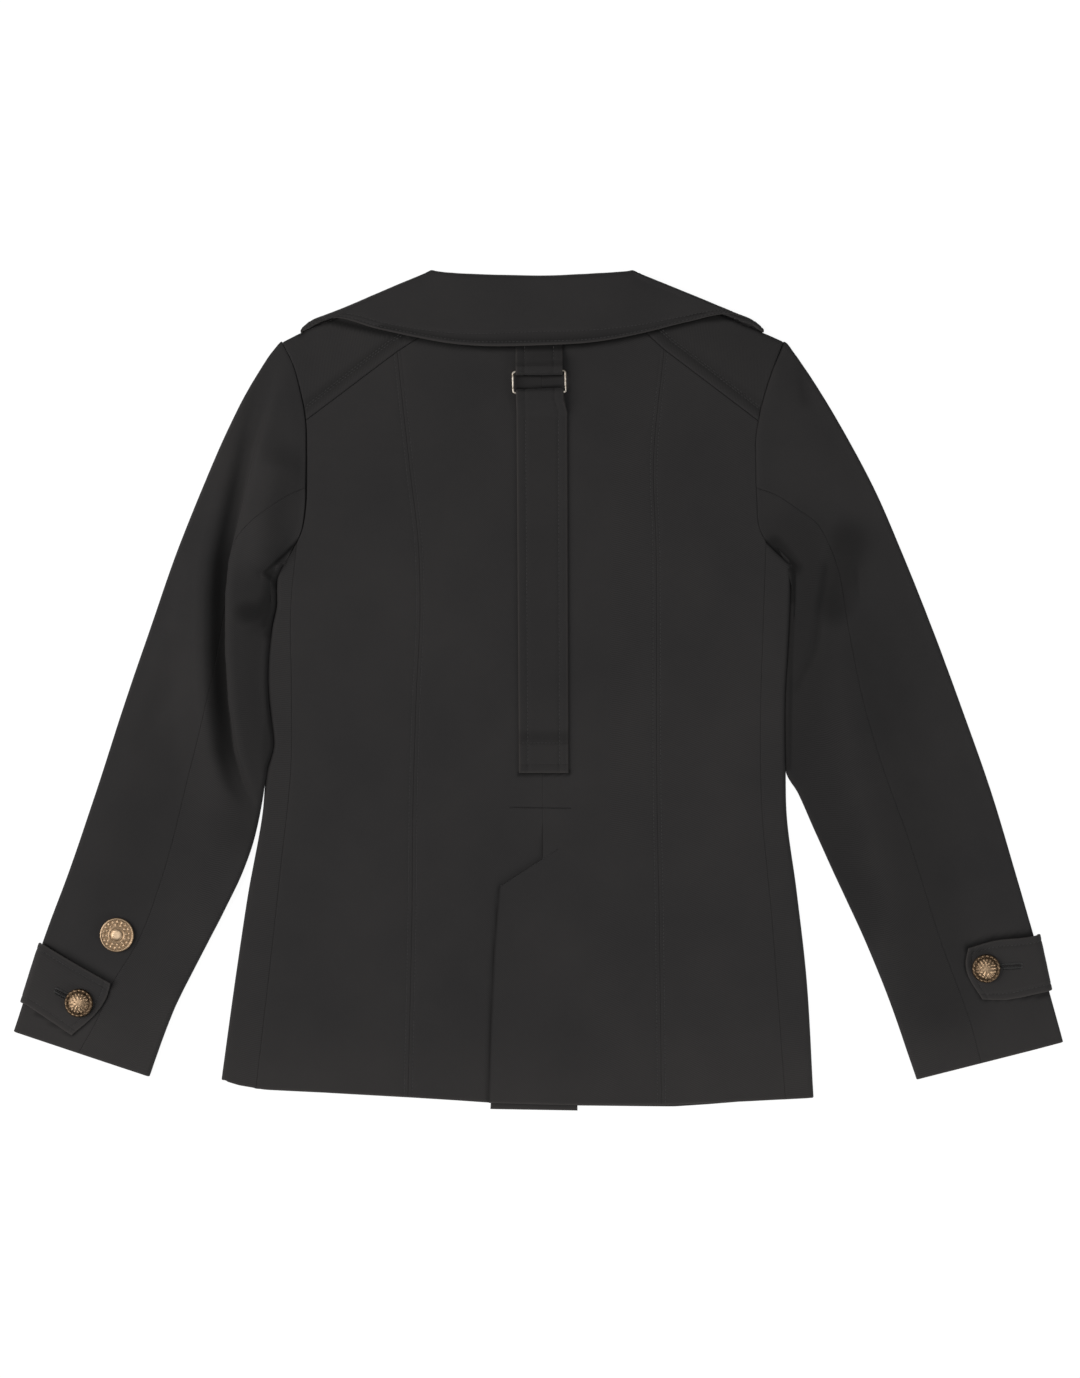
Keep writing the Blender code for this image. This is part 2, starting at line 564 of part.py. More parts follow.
def build_yoke(side, shape):
    axis = shoulder_axis(shape)
    armhole = armhole_points(shape)[:4]
    seam = yoke_seam_points(shape)
    axis[-1] = armhole[0]
    upper = patch(seam, axis, yoke_neck(side, shape), armhole[::-1])
    front_hole = front_armhole_points(shape)[:3]
    front_seam = evenly(np.array(shape["front_yoke_seam"], dtype=float), 6)
    front_seam[-1] = front_hole[-1]
    lower = patch(axis, front_seam, evenly(np.array([axis[0], front_seam[0]]), 2), front_hole)
    upper = raised(pulled_in(upper, ("top",)), BACK_LAYER)
    lower = raised(pulled_in(lower, ("bottom",)), under_layer)
    along = np.gradient(axis, axis=0)
    along /= np.linalg.norm(along, axis=1)[:, None]
    outward = np.stack([-along[:, 1], along[:, 0]], axis=1) * np.sign(axis[-1][0])
    columns = []
    for c in range(len(axis)):
        fold = fold_round(axis[c], outward[c], upper[-1, c, 2], lower[0, c, 2])
        columns.append(np.vstack([upper[:, c], fold, lower[:, c]]))
    grid = np.array(columns).transpose(1, 0, 2)
    cloth("yoke_" + side, pulled_in(grid, ("left", "right")))


# ---------------------------------------------------------------- collar

COLLAR_MIDDLE = 5.0      # height of the line that the collar wraps round
FALL_REACH = 4.0         # of its outer layer above and below that line
STAND_REACH = {"back": BACK_LAYER - COLLAR_MIDDLE, "front": 1.75}
ROLL_LIFT = 6.5          # the roll at the back of the neck
SLOPE_RADIUS = FALL_REACH + 0.5 * DOUBLE


def collar_column(edge, roll, neck, normal, edge_reach, roll_reach, stand_reach):
    """One section of the collar: its fall, the roll, and the stand down to the neck seam."""
    edge, roll, neck = (np.array(p, dtype=float) for p in (edge, roll, neck))
    along = (roll - edge) / np.linalg.norm(roll - edge)
    radius = 0.5 * (roll_reach - stand_reach)
    turn = roll - along * (radius + 0.5 * DOUBLE)
    flat_along = np.array([along[0], along[1], 0.0])
    base = np.array([0, 0, COLLAR_MIDDLE])
    points = []
    for s in np.linspace(0, 1, 5):
        plan = (1 - s) * edge + s * turn
        reach = (1 - s) * edge_reach + s * roll_reach
        points.append(np.array([*plan, 0]) + base + normal * reach)
    for k in range(1, FOLD_FACETS):
        angle = math.pi * k / FOLD_FACETS
        points.append(np.array([*turn, 0]) + base + flat_along * radius * math.sin(angle)
                      + normal * (0.5 * (roll_reach + stand_reach) + radius * math.cos(angle)))
    for s in (0.0, 0.5, 1.0):
        points.append(np.array([*((1 - s) * turn + s * neck), 0]) + base + normal * stand_reach)
    return points


def collar_half(side, shape):
    """The sections of one half of the collar, from the middle of the back round to the front."""
    seam = evenly(smooth_run(NECK_SEAM[side]), 3)
    neck = np.vstack([seam, yoke_neck(side, shape)[1:]])
    neck[:, 1] += SEAM_GAP
    up = np.array([0, 0, 1.0])
    tip = np.array(shape["fall_edge"][-1], dtype=float)
    corner = np.array(shape["roll"][-1], dtype=float)
    along = (corner - tip) / np.linalg.norm(corner - tip)
    outward = np.array([-along[1], along[0]])
    if outward[1] < 0:
        outward = -outward
    columns = []
    over_strap = STRAP_LAYER + DOUBLE + 2 * LAYER_GAP - COLLAR_MIDDLE
    for k in range(6):
        away = abs(shape["fall_edge"][k][0] - CENTRE)
        flattened = ease((away - 42) / 30)
        edge_reach = over_strap + flattened * (FALL_REACH - over_strap)
        roll_reach = ROLL_LIFT + ease((away - 60) / 100) * (FALL_REACH + SEAM_GAP - ROLL_LIFT)
        columns.append(collar_column(shape["fall_edge"][k], shape["roll"][k], neck[k], up,
                                     edge_reach, roll_reach, STAND_REACH["back"]))
    axis_tip = tip - outward * SLOPE_RADIUS
    axis_corner = corner - outward * SLOPE_RADIUS
    neck_axis = neck[-1] + along * SEAM_GAP
    for k in range(FOLD_FACETS + 1):
        angle = math.pi * k / FOLD_FACETS
        normal = np.array([*(outward * math.sin(angle)), math.cos(angle)])
        share = k / FOLD_FACETS
        stand = (1 - share) * STAND_REACH["back"] + share * STAND_REACH["front"]
        columns.append(collar_column(axis_tip, axis_corner, neck_axis, normal, FALL_REACH,
                                     FALL_REACH, stand))
    front_neck = evenly(np.array([neck_axis, shape["front_yoke_seam"][0]]), 2)[1:]
    last_neck = np.array(shape["front_roll"][-1]) + (front_neck[-1] - front_neck[0]) * 0.2
    necks = [neck_axis + 0.5 * (front_neck[0] - neck_axis), front_neck[0], front_neck[1]]
    for edge, roll, seam_point in zip(shape["front_fall_edge"], shape["front_roll"],
                                      necks + [last_neck]):
        shift = np.array([-0.6 * np.sign(edge[0]), 0.4])
        columns.append(collar_column(edge, roll, seam_point + shift, -up, FALL_REACH, FALL_REACH,
                                     STAND_REACH["front"]))
    return columns


def build_collar():
    left = collar_half("left", SHAPE["left"])
    right = collar_half("right", SHAPE["right"])
    grid = np.array(left[::-1] + right[1:]).transpose(1, 0, 2)
    cloth("collar", grid, DOUBLE)


# ---------------------------------------------------------------- sleeves

def sleeve_edges(shape):
    """The axes of a sleeve's outer and inner folds, from the armhole to the cuff.

    Beside the body the inner fold has the side panel's rows, so that the two stay apart.
    """
    sign = np.sign(shape["sleeve_outer"][-1][0])
    radius = 0.5 * (BACK_LAYER - FLOOR_LAYER) + 0.5 * CLOTH
    axis, outward = body_fold(shape)
    beside = axis[1:ROWS_BELOW_ARMPIT[0]] + outward * (2 * radius + SLEEVE_CLEARANCE)
    free = moved_in(smooth_run(shape["sleeve_inner"]), -sign * radius)
    last = np.array(shape["armhole"][-2:], dtype=float)
    start = last[1] + (last[0] - last[1]) * (radius + SEAM_GAP) / np.linalg.norm(last[1] - last[0])
    inner = np.vstack([[start], shape["armpit"], beside, evenly(free, SLEEVE_ROWS_BELOW)])
    outer_run = moved_in(smooth_run(shape["sleeve_outer"]), sign * radius)
    outer = evenly(outer_run, len(inner) - 1)
    return outer, inner


def build_sleeve(side, shape):
    outer, inner = sleeve_edges(shape)
    sign = np.sign(shape["sleeve_outer"][-1][0])
    away = np.array([sign * SEAM_GAP, 0.0])
    armhole = armhole_points(shape) + away
    front_hole = front_armhole_points(shape) + away
    outer[0] = armhole[0]
    armhole[-1] = front_hole[-1] = inner[0] = inner[0] + 3 * away
    cuff_line = outer[-1] + (inner[-1] - outer[-1]) * np.linspace(0, 1, 12)[:, None]
    seam_at = shape["sleeve_seam_end"]
    share = np.concatenate([np.linspace(0, seam_at, 7), np.linspace(seam_at, 1, 4)[1:]])
    cuff = outer[-1] + (inner[-1] - outer[-1]) * share[:, None]
    cuff_under = evenly(cuff_line, len(front_hole) - 1)
    top = patch(armhole, cuff, outer, inner, fade=5)
    under = patch(front_hole, cuff_under, outer, inner, fade=5)

    def lifted(x, y):
        return sleeve_fold(x, y) if side == "left" else 0.0 * x

    upper = raised(top, lambda x, y: BACK_LAYER + lifted(x, y))
    lower = raised(under, lambda x, y: under_layer(x, y) + 0.7 * lifted(x, y))
    outer_way = fold_way(outer, sign > 0)
    inner_way = fold_way(inner, sign < 0)
    inner_way[0] = (armhole[-1] - armhole[-2]) / np.linalg.norm(armhole[-1] - armhole[-2])
    seam, under_seam = 6, 5
    top_rows = []
    under_rows = []
    for r in range(len(outer)):
        outer_fold = fold_round(outer[r], outer_way[r], upper[r, 0, 2], lower[r, 0, 2])
        inner_fold = fold_round(inner[r], inner_way[r], upper[r, -1, 2], lower[r, -1, 2])
        top_rows.append(np.vstack([upper[r, seam::-1], outer_fold, lower[r, :under_seam + 1]]))
        under_rows.append(np.vstack([upper[r, seam:], inner_fold, lower[r, :under_seam - 1:-1]]))
    cloth("topsleeve_" + side, pulled_in(np.array(top_rows), ("left", "right"), FOLDED_SEAM_GAP))
    cloth("undersleeve_" + side, pulled_in(np.array(under_rows), ("left", "right"),
                                           FOLDED_SEAM_GAP))


def fold_way(line, left_hand):
    """Unit directions square to a fold's axis, to one hand of it going down the sleeve."""
    along = np.gradient(line, axis=0)
    along /= np.linalg.norm(along, axis=1)[:, None]
    way = np.stack([-along[:, 1], along[:, 0]], axis=1)
    return way if left_hand else -way


# ---------------------------------------------------------------- strap, buckle, tabs, buttons

def build_strap(name, far_end, bar_y, edges):
    """One length of the strap, from its far end to the buckle's bar, round it and back under."""
    way = 1 if bar_y > far_end else -1
    near, start = RAMP
    bar_top = BUCKLE_HEIGHT + LOOP_RADIUS
    run = [(y, STRAP_LAYER) for y in np.linspace(far_end, bar_y - way * start,
                                                 3 + int(abs(bar_y - far_end) / 60))]
    run += [(bar_y - way * near, bar_top - 0.4), (bar_y, bar_top)]
    run += [(bar_y + way * LOOP_RADIUS * math.sin(angle),
             BUCKLE_HEIGHT + LOOP_RADIUS * math.cos(angle))
            for angle in np.linspace(0, math.pi, 7)[1:]]
    run.append((bar_y - way * LOOP_TAIL, STRAP_LAYER))
    rows = []
    for y, z in run:
        left = np.interp(y, edges["y"], edges["left"])
        right = np.interp(y, edges["y"], edges["right"])
        rows.append([(x, y, z) for x in np.linspace(left, right, 3)])
    cloth(name, np.array(rows), DOUBLE)


def build_buckle():
    """A rectangular frame of round wire."""
    wire = 0.5 * BUCKLE_WIRE
    bend = BUCKLE_CORNER - wire
    half_x = 0.5 * BUCKLE_SIZE[0] - BUCKLE_CORNER
    half_y = 0.5 * BUCKLE_SIZE[1] - BUCKLE_CORNER
    verts = []
    for corner, (sx, sy) in enumerate([(1, 1), (-1, 1), (-1, -1), (1, -1)]):
        for step in range(4):
            turn = math.pi / 2 * (corner + step / 3)
            for k in range(BUCKLE_SECTION_SIDES):
                angle = 2 * math.pi * (k + 0.5) / BUCKLE_SECTION_SIDES
                reach = bend + wire * math.cos(angle)
                verts.append((BUCKLE_CENTRE[0] + sx * half_x + reach * math.cos(turn),
                              BUCKLE_CENTRE[1] + sy * half_y + reach * math.sin(turn),
                              BUCKLE_HEIGHT + wire * math.sin(angle)))
    sides = BUCKLE_SECTION_SIDES
    stations = len(verts) // sides
    faces = []
    for i in range(stations):
        for k in range(sides):
            a, b = i * sides, (i + 1) % stations * sides
            j = (k + 1) % sides
            faces.append((a + k, b + k, b + j, a + j))
    finish("buckle", verts, faces, BUCKLE_LOOK)


def build_cuff_tab(side, shape):
    """The pointed strip across the back of a cuff, wrapped round the sleeve's outer fold."""
    outer = sleeve_edges(shape)[0]
    sign = np.sign(outer[-1][0])
    way = fold_way(outer, sign > 0)
    heights = np.linspace(*shape["tab_fold"], 5)
    order = np.argsort(outer[:, 1])
    axis = np.stack([np.interp(heights, outer[order, 1], outer[order, 0]), heights], axis=1)
    outward = np.stack([np.interp(heights, outer[order, 1], way[order, k]) for k in (0, 1)], axis=1)
    grid = patch(evenly(np.vstack([axis[:1], shape["tab_top"]]), 4),
                 evenly(np.vstack([axis[-1:], shape["tab_bottom"]]), 4),
                 axis, evenly(np.array(shape["tab_end"], dtype=float), 4))
    middle = 0.5 * (BACK_LAYER + FLOOR_LAYER)
    radius = TAB_LAYER - middle
    rows = []
    for r in range(len(axis)):
        wrap = [(*(axis[r] + outward[r] * radius * math.sin(angle)),
                 middle + radius * math.cos(angle))
                for angle in np.linspace(TAB_WRAP, 0, 5)[:-1]]
        flat = [(x, y, TAB_LAYER) for x, y in grid[r]]
        rows.append(wrap + flat)
    cloth("cuff_tab_" + side, np.array(rows))


def build_button(name, centre, base, radius, height):
    """A domed button with a rounded rim."""
    turned(name, centre, [(0, base), (0.8 * radius, base), (radius, base + 0.22 * height),
                          (radius, base + 0.5 * height), (0.86 * radius, base + 0.8 * height),
                          (0.5 * radius, base + 0.95 * height), (0, base + height)], BRASS_LOOK)


def build_flat_button(name, centre, base, radius, height):
    """A flat button with a raised rim, like a coin."""
    turned(name, centre, [(0, base), (0.9 * radius, base), (radius, base + 0.25 * height),
                          (radius, base + 0.8 * height), (0.95 * radius, base + height),
                          (0.86 * radius, base + height), (0.82 * radius, base + 0.8 * height),
                          (0, base + 0.8 * height)], BRASS_LOOK)


# ---------------------------------------------------------------- build the jacket

for side, shape in SHAPE.items():
    build_back(side, shape)
    build_side_panel(side, shape)
    build_front(side, shape)
    build_lapel(side, shape)
    build_yoke(side, shape)
    build_sleeve(side, shape)
    build_cuff_tab(side, shape)
    build_button("cuff_button_" + side, shape["cuff_button"], TAB_LAYER + 0.5 * CLOTH + LAYER_GAP,
                 BUTTON_RADIUS, BUTTON_HEIGHT)
build_vent_underlap()
build_collar()

bar_reach = 0.5 * BUCKLE_SIZE[1] - 0.5 * BUCKLE_WIRE
build_strap("strap_upper", STRAP_TOP_Y, BUCKLE_CENTRE[1] + bar_reach, STRAP_UPPER_EDGES)
build_strap("strap_lower", STRAP_END_Y, BUCKLE_CENTRE[1] - bar_reach, STRAP_LOWER_EDGES)
build_buckle()
build_flat_button("sleeve_button_left", FLAT_BUTTON_CENTRE, BACK_LAYER + 0.5 * CLOTH + LAYER_GAP,
                  FLAT_BUTTON_RADIUS, FLAT_BUTTON_HEIGHT)
for number, button_y in enumerate(FRONT_BUTTON_Y, start=1):
    build_button("front_button_%d" % number, (CENTRE, button_y), 0.0, BUTTON_RADIUS,
                 FRONT_BUTTON_HEIGHT)

# The middle of the bounding box goes to the origin, with the lowest point on the surface.
corners = np.array([vertex.co[:] for piece in bpy.data.objects for vertex in piece.data.vertices])
low, high = corners.min(axis=0), corners.max(axis=0)
for piece in bpy.data.objects:
    for vertex in piece.data.vertices:
        vertex.co.x -= 0.5 * (low[0] + high[0])
        vertex.co.y -= 0.5 * (low[1] + high[1])
        vertex.co.z -= low[2]
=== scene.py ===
import math

import bmesh
import bpy
import numpy as np
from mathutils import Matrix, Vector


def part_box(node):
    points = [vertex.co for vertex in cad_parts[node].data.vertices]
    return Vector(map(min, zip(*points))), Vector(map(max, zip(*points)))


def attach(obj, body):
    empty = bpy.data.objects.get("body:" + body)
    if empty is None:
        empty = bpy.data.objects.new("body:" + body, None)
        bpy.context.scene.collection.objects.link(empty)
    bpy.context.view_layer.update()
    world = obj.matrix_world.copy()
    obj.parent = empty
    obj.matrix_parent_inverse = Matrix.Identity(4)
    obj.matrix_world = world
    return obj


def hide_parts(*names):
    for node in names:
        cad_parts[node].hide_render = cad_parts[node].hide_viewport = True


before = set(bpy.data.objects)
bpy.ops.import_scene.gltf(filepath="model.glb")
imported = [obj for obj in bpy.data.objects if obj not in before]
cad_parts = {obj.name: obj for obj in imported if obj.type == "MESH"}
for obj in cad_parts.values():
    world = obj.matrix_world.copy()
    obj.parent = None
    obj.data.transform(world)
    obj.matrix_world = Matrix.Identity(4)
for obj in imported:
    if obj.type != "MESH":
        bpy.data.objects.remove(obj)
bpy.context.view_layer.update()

# ================================================================ surface, light and camera
# The jacket lies face down on a white light table. A big soft lamp stands on its left and a
# small one near the lower right, a softbox hangs overhead, and the camera looks straight down
# at the middle.


def set_inputs(node, inputs):
    """Gives each of a node's inputs a value, or links it to another node's output."""
    for socket, value in inputs.items():
        if isinstance(value, bpy.types.NodeSocket):
            node.id_data.links.new(value, node.inputs[socket])
        else:
            node.inputs[socket].default_value = value


def new_finish(name, shader_values):
    """A new material and its shader, whose plain values are set."""
    finish = bpy.data.materials.new(name)
    finish.use_nodes = True
    shader = finish.node_tree.nodes["Principled BSDF"]
    set_inputs(shader, shader_values)
    return finish, shader


SURFACE_SIZE = 14
SURFACE_DROP = 0.0003         # the surface is a hair below the cloth that rests on it
bpy.ops.object.select_all(action="DESELECT")
bpy.ops.mesh.primitive_plane_add(size=SURFACE_SIZE, location=(0, 0, -SURFACE_DROP))
surface = bpy.context.object
surface.name = "surface"
surface.data.materials.append(new_finish("white_surface", {
    "Base Color": (0.12, 0.12, 0.12, 1), "Roughness": 0.9, "Specular IOR Level": 0.1,
    "Emission Color": (1, 1, 1, 1), "Emission Strength": 0.93})[0])

room = bpy.data.worlds.new("room")
room.use_nodes = True
set_inputs(room.node_tree.nodes["Background"], {"Color": (0.98, 0.99, 1, 1), "Strength": 0.27})
bpy.context.scene.world = room
bpy.context.scene.view_settings.view_transform = "Standard"

for label, place, size, power, tint in (
        ("key_lamp", (-2.35, 0.1, 1.9), 2.2, 82.0, (1.0, 0.965, 0.94)),
        ("side_lamp", (1.3, -1.35, 0.75), 0.8, 17.0, (1.0, 0.985, 0.97)),
        ("overhead_softbox", (-0.1, 0.1, 3.7), 2.4, 28.0, (1.0, 1.0, 1.0))):
    bpy.ops.object.light_add(type="AREA", location=place)
    lamp = bpy.context.object
    lamp.name = label
    lamp.data.size = size
    lamp.data.energy = power
    lamp.data.color = tint
    lamp.rotation_euler = (-lamp.location).to_track_quat("-Z", "Y").to_euler()

PICTURE_HEIGHT = 1.1008       # how much of the surface the picture shows, top to bottom
PICTURE_MIDDLE = (0.0010, 0.0009)
SCALED_HEIGHT = 0.007         # the height in the cloth that the picture shows to that scale
CAMERA_HEIGHT = 3.0           # above it
bpy.ops.object.camera_add(location=(*PICTURE_MIDDLE, CAMERA_HEIGHT + SCALED_HEIGHT),
                          rotation=(0, 0, 0))
camera = bpy.context.object
camera.data.lens = camera.data.sensor_width * CAMERA_HEIGHT / PICTURE_HEIGHT
bpy.context.scene.camera = camera

# ================================================================ suiting
# Fine charcoal twill, matt, with a faint nap. Its edges are a little paler, partly rubbed wear
# and partly a painted highlight, and its tone wanders slightly over the width of a hand. Deep in
# a fold or against an edge that lies on it, shade is painted into its colour.


def add_node(finish, kind, inputs, **settings):
    """Adds a node to a material, with its settings and its inputs."""
    node = finish.node_tree.nodes.new("ShaderNode" + kind)
    for setting, value in settings.items():
        setattr(node, setting, value)
    set_inputs(node, inputs)
    return node


def tone_ramp(finish, amount, *tones):
    """Tones that follow an amount. Each is a place on the ramp and a colour."""
    ramp = add_node(finish, "ValToRGB", {"Fac": amount})
    for element, (place, colour) in zip(ramp.color_ramp.elements, tones):
        element.position, element.color = place, (*colour, 1)
    return ramp.outputs["Color"]


def suiting():
    """The cloth of every panel. It reads the panel's UV map, in metres, and two attributes."""
    cloth = bpy.data.materials.get("charcoal_suiting")
    if cloth:
        return cloth
    cloth, shader = new_finish("charcoal_suiting", {
        "Roughness": 0.82, "Specular IOR Level": 0.16, "Sheen Weight": 0.05,
        "Sheen Roughness": 0.4})
    place = add_node(cloth, "TexCoord", {}).outputs["Object"]
    thread_place = add_node(cloth, "UVMap", {}, uv_map="cut").outputs["UV"]
    twill = add_node(cloth, "TexWave", {"Vector": thread_place, "Scale": 420,
                                        "Distortion": 0.8, "Detail": 1},
                     bands_direction="DIAGONAL")
    slub = add_node(cloth, "TexNoise", {"Vector": thread_place, "Scale": 1500, "Detail": 2})
    cloud = add_node(cloth, "TexNoise", {"Vector": place, "Scale": 9, "Detail": 5,
                                         "Roughness": 0.62})
    tone = tone_ramp(cloth, cloud.outputs["Fac"], (0.3, (0.0200, 0.0194, 0.0199)),
                     (0.72, (0.0262, 0.0250, 0.0249)))
    threads = add_node(cloth, "Mix", {"Factor": 0.35, "A": tone, "B": twill.outputs["Color"]},
                       data_type="RGBA", blend_type="MULTIPLY")
    # Paler edges, partly rubbed wear and partly a painted highlight, from the edge attribute.
    edge = add_node(cloth, "Attribute", {}, attribute_name="edge")
    rubbed_and_highlit = add_node(cloth, "Mix", {"Factor": edge.outputs["Fac"],
                                     "A": threads.outputs["Result"],
                                     "B": (0.062, 0.056, 0.052, 1)}, data_type="RGBA")
    # Painted shade: a second attribute darkens the colour by up to nine tenths.
    painted_shade = add_node(cloth, "Attribute", {}, attribute_name="painted_shade")
    painted_shade_mix = add_node(cloth, "Mix", {"Factor": painted_shade.outputs["Fac"],
                                        "A": rubbed_and_highlit.outputs["Result"],
                                        "B": (0.10, 0.10, 0.10, 1)},
                         data_type="RGBA", blend_type="MULTIPLY")
    ribs = add_node(cloth, "Bump", {"Height": twill.outputs["Fac"], "Strength": 0.22,
                                    "Distance": 0.00006})
    nap = add_node(cloth, "Bump", {"Height": slub.outputs["Fac"], "Strength": 0.25,
                                   "Distance": 0.00008, "Normal": ribs.outputs["Normal"]})
    set_inputs(shader, {"Base Color": painted_shade_mix.outputs["Result"],
                        "Normal": nap.outputs["Normal"]})
    return cloth


# ================================================================ back panels
# Four panels of suiting, seamed edge to edge from the yokes to the hem and pressed flat. The
# two princess seams are topstitched on both sides, and the hem is turned up and hand-felled.

MM = 0.001
TO_MIDDLE = np.array([0.20, -0.14])    # from the tables' origin to the middle of the jacket's box
CLOTH = 1.6                   # thickness of a panel, in mm as all the sizes below are
BACK_LAYER = 6.35             # height of the middle of the back's cloth
FLOOR_LAYER = 0.8             # of the cloth that lies on the surface
STEP_UP = 1.85                # one layer of cloth and the room over it
# Each side's seams and edges as they lie, seen from above: the x and y of their points, from the
# top down or from the middle outwards.
SHAPE = {
    "left": {
        "princess": [(-113.2, 270.4), (-102.8, 175.6), (-96.4, 119.6), (-94.8, 71.6),
                     (-98, -8.4), (-100.4, -88.4), (-101.2, -168.4), (-104.5, -325.2)],
        "armhole": [(-204.2, 276.2), (-196.8, 261.2), (-190.8, 240.4), (-186, 215.6),
                    (-185.2, 193.2), (-185.2, 172.4), (-186, 146), (-190, 125.2), (-193.4, 118)],
        "side_seam": [(-193.4, 118), (-198, 70), (-197.6, 0), (-198, -60), (-206, -140),
                      (-226, -318.4)],
        "yoke_seam": [(-60, 305), (-113.2, 270.4), (-186, 215.6)],
        "neck": [(2, 298), (-20, 298.8), (-42, 301), (-60, 305)],
    },
    "right": {
        "princess": [(100, 272.2), (91.5, 175.6), (93.6, 119.6), (94, 71.6), (94, -8.4),
                     (94.5, -88.4), (96, -168.4), (98, -331.2)],
        "armhole": [(194.2, 276.2), (187.6, 258.8), (180.4, 236.4), (175.2, 215.2), (173.2, 202),
                    (173.2, 181.2), (174, 152.4), (176.4, 128.4), (181.6, 118)],
        "side_seam": [(181.6, 118), (179, 44), (177, -30), (178, -90), (186, -180), (197, -327.0)],
        "yoke_seam": [(64, 305), (100, 272.2), (175.2, 215.2)],
        "neck": [(2, 298), (24, 298.8), (46, 301), (64, 305)],
    },
}
BACK_HEM = [(-253, -311.6), (-240, -315.6), (-219, -319.2), (-173, -321.4), (-118, -324.2),
            (-41, -329.4), (30, -331.4), (108, -331.0), (168, -328.4), (219, -325.8)]
CENTRE_SEAM = [(2, 298), (2.4, 108), (3, -134.5)]
VENT_EDGE = [(3, -134.5), (-31.6, -157.2), (-35.6, -208.4), (-38.3, -269.2), (-40.2, -329.5)]


def run_length(line):
    """How far along a line each of its points is."""
    return np.concatenate([[0], np.cumsum(np.linalg.norm(np.diff(line, axis=0), axis=1))])


def curve_point(s, span, ends, slopes):
    """A point at a share of the way between two ends whose slopes are known."""
    return ((2 * s**3 - 3 * s**2 + 1) * ends[0] + (3 * s**2 - 2 * s**3) * ends[1]
            + span * ((s**3 - 2 * s**2 + s) * slopes[0] + (s**3 - s**2) * slopes[1]))


def smooth_line(points, pitch=2.0):
    """A line through the points of a table, smooth at each, with points about a pitch apart."""
    knots = np.array(points, dtype=float)
    length = run_length(knots)
    if len(knots) == 2:
        slope = np.array([(knots[1] - knots[0]) / length[1]] * 2)
    else:
        slope = np.gradient(knots, length, axis=0)
    line = []
    for i, span in enumerate(np.diff(length)):
        for s in np.linspace(0, 1, max(2, int(span / pitch)), endpoint=False):
            line.append(curve_point(s, span, knots[i:i + 2], slope[i:i + 2]))
    line.append(knots[-1])
    return np.array(line)


def straight(*points):
    return np.array(points, dtype=float)


def distance_to(line, x, y):
    """Distance of each point to a line of straight stretches."""
    nearest = np.full(np.shape(x), 1e9)
    for (ax, ay), (bx, by) in zip(line[:-1], line[1:]):
        along = ((x - ax) * (bx - ax) + (y - ay) * (by - ay)) / ((bx - ax) ** 2 + (by - ay) ** 2)
        along = np.clip(along, 0, 1)
        nearest = np.minimum(nearest, np.hypot(x - ax - along * (bx - ax),
                                               y - ay - along * (by - ay)))
    return nearest


def beside(*lines):
    """Painted shade where cloth lies against other pieces: lines, each with a strength and a
    width.
    """
    def depth(x, y):
        dark = np.zeros(np.shape(x))
        for line, strength, width in lines:
            dark = np.maximum(dark, strength * np.exp(-((distance_to(line, x, y) / width) ** 3)))
        return dark
    return depth


def points_at(line, length, places):
    """Points of a line at some places along it. length says where its own points are."""
    return np.stack([np.interp(places, length, column) for column in line.T], axis=-1)


def shares_of(line, shares):
    """Points at these shares of a line's length."""
    length = run_length(line)
    return points_at(line, length, np.asarray(shares) * length[-1])


HAIR = 0.01                   # less than there is between any two points


def stretch(line, high, low):
    """The stretch between two heights of a line that runs down the jacket."""
    order = np.argsort(line[:, 1])
    ends = [[np.interp(y, line[order, 1], line[order, 0]), y] for y in (high, low)]
    inside = line[(line[:, 1] < high - HAIR) & (line[:, 1] > low + HAIR)]
    return np.vstack([ends[:1], inside, ends[1:]])


def patch(top, bottom, left, right, rows, columns, fade=1):
    """A grid between four lines. The top line's curve dies out down it, the sooner with fade."""
    u = np.linspace(0, 1, columns)
    v = np.linspace(0, 1, rows)
    top, bottom = shares_of(top, u), shares_of(bottom, u)
    left, right = shares_of(left, v), shares_of(right, v)
    u, v = u[None, :, None], v[:, None, None]
    return ((1 - u) * left[:, None] + u * right[:, None]
            + (1 - v) ** fade * (top[None] - (1 - u) * top[0] - u * top[-1])
            + v * (bottom[None] - (1 - u) * bottom[0] - u * bottom[-1]))


def ease(value):
    """Goes smoothly from 0 to 1 as the value does."""
    value = np.clip(value, 0, 1)
    return value * value * (3 - 2 * value)


def fades(distance, reach):
    """1 at a line, dying out over a reach on both sides of it."""
    return np.exp(-((distance / reach) ** 2))


def unit(vector):
    return vector / np.linalg.norm(vector)


def raised(grid, height):
    """A flat grid with its height added, a number or a function of x and y."""
    z = height(grid[..., 0], grid[..., 1]) if callable(height) else np.full(grid.shape[:2], height)
    return np.dstack([grid, z])


EDGE_MARKS = (0.0, 0.4, 0.8, 1.3, 2.1, 3.4)      # in from an edge, where a panel has points
STITCH_MARKS = (-0.9, -0.4, 0.0, 0.4, 0.9)       # either side of a row of stitches
BETWEEN_MARKS = 2.0           # between an edge and a row, or two rows, that are far apart
MARKED_SHARE = 0.8            # the most of a narrow panel that these marks take up
BEND_SHARE = 4.0              # extra length that a bend of one radian counts for


def marks_for(rows_of_stitches):
    """Where a panel has points, in from a side with these rows of stitches."""
    marks = set(EDGE_MARKS)
    for distance in rows_of_stitches:
        marks |= {round(distance + step, 3) for step in STITCH_MARKS}
    marks = sorted(marks)
    between = [near + step for near, far in zip(marks, marks[1:])
               for step in np.arange(BETWEEN_MARKS, far - near - 1, BETWEEN_MARKS)
               if far - near > 3 * BETWEEN_MARKS]
    return np.array(sorted(marks + between))


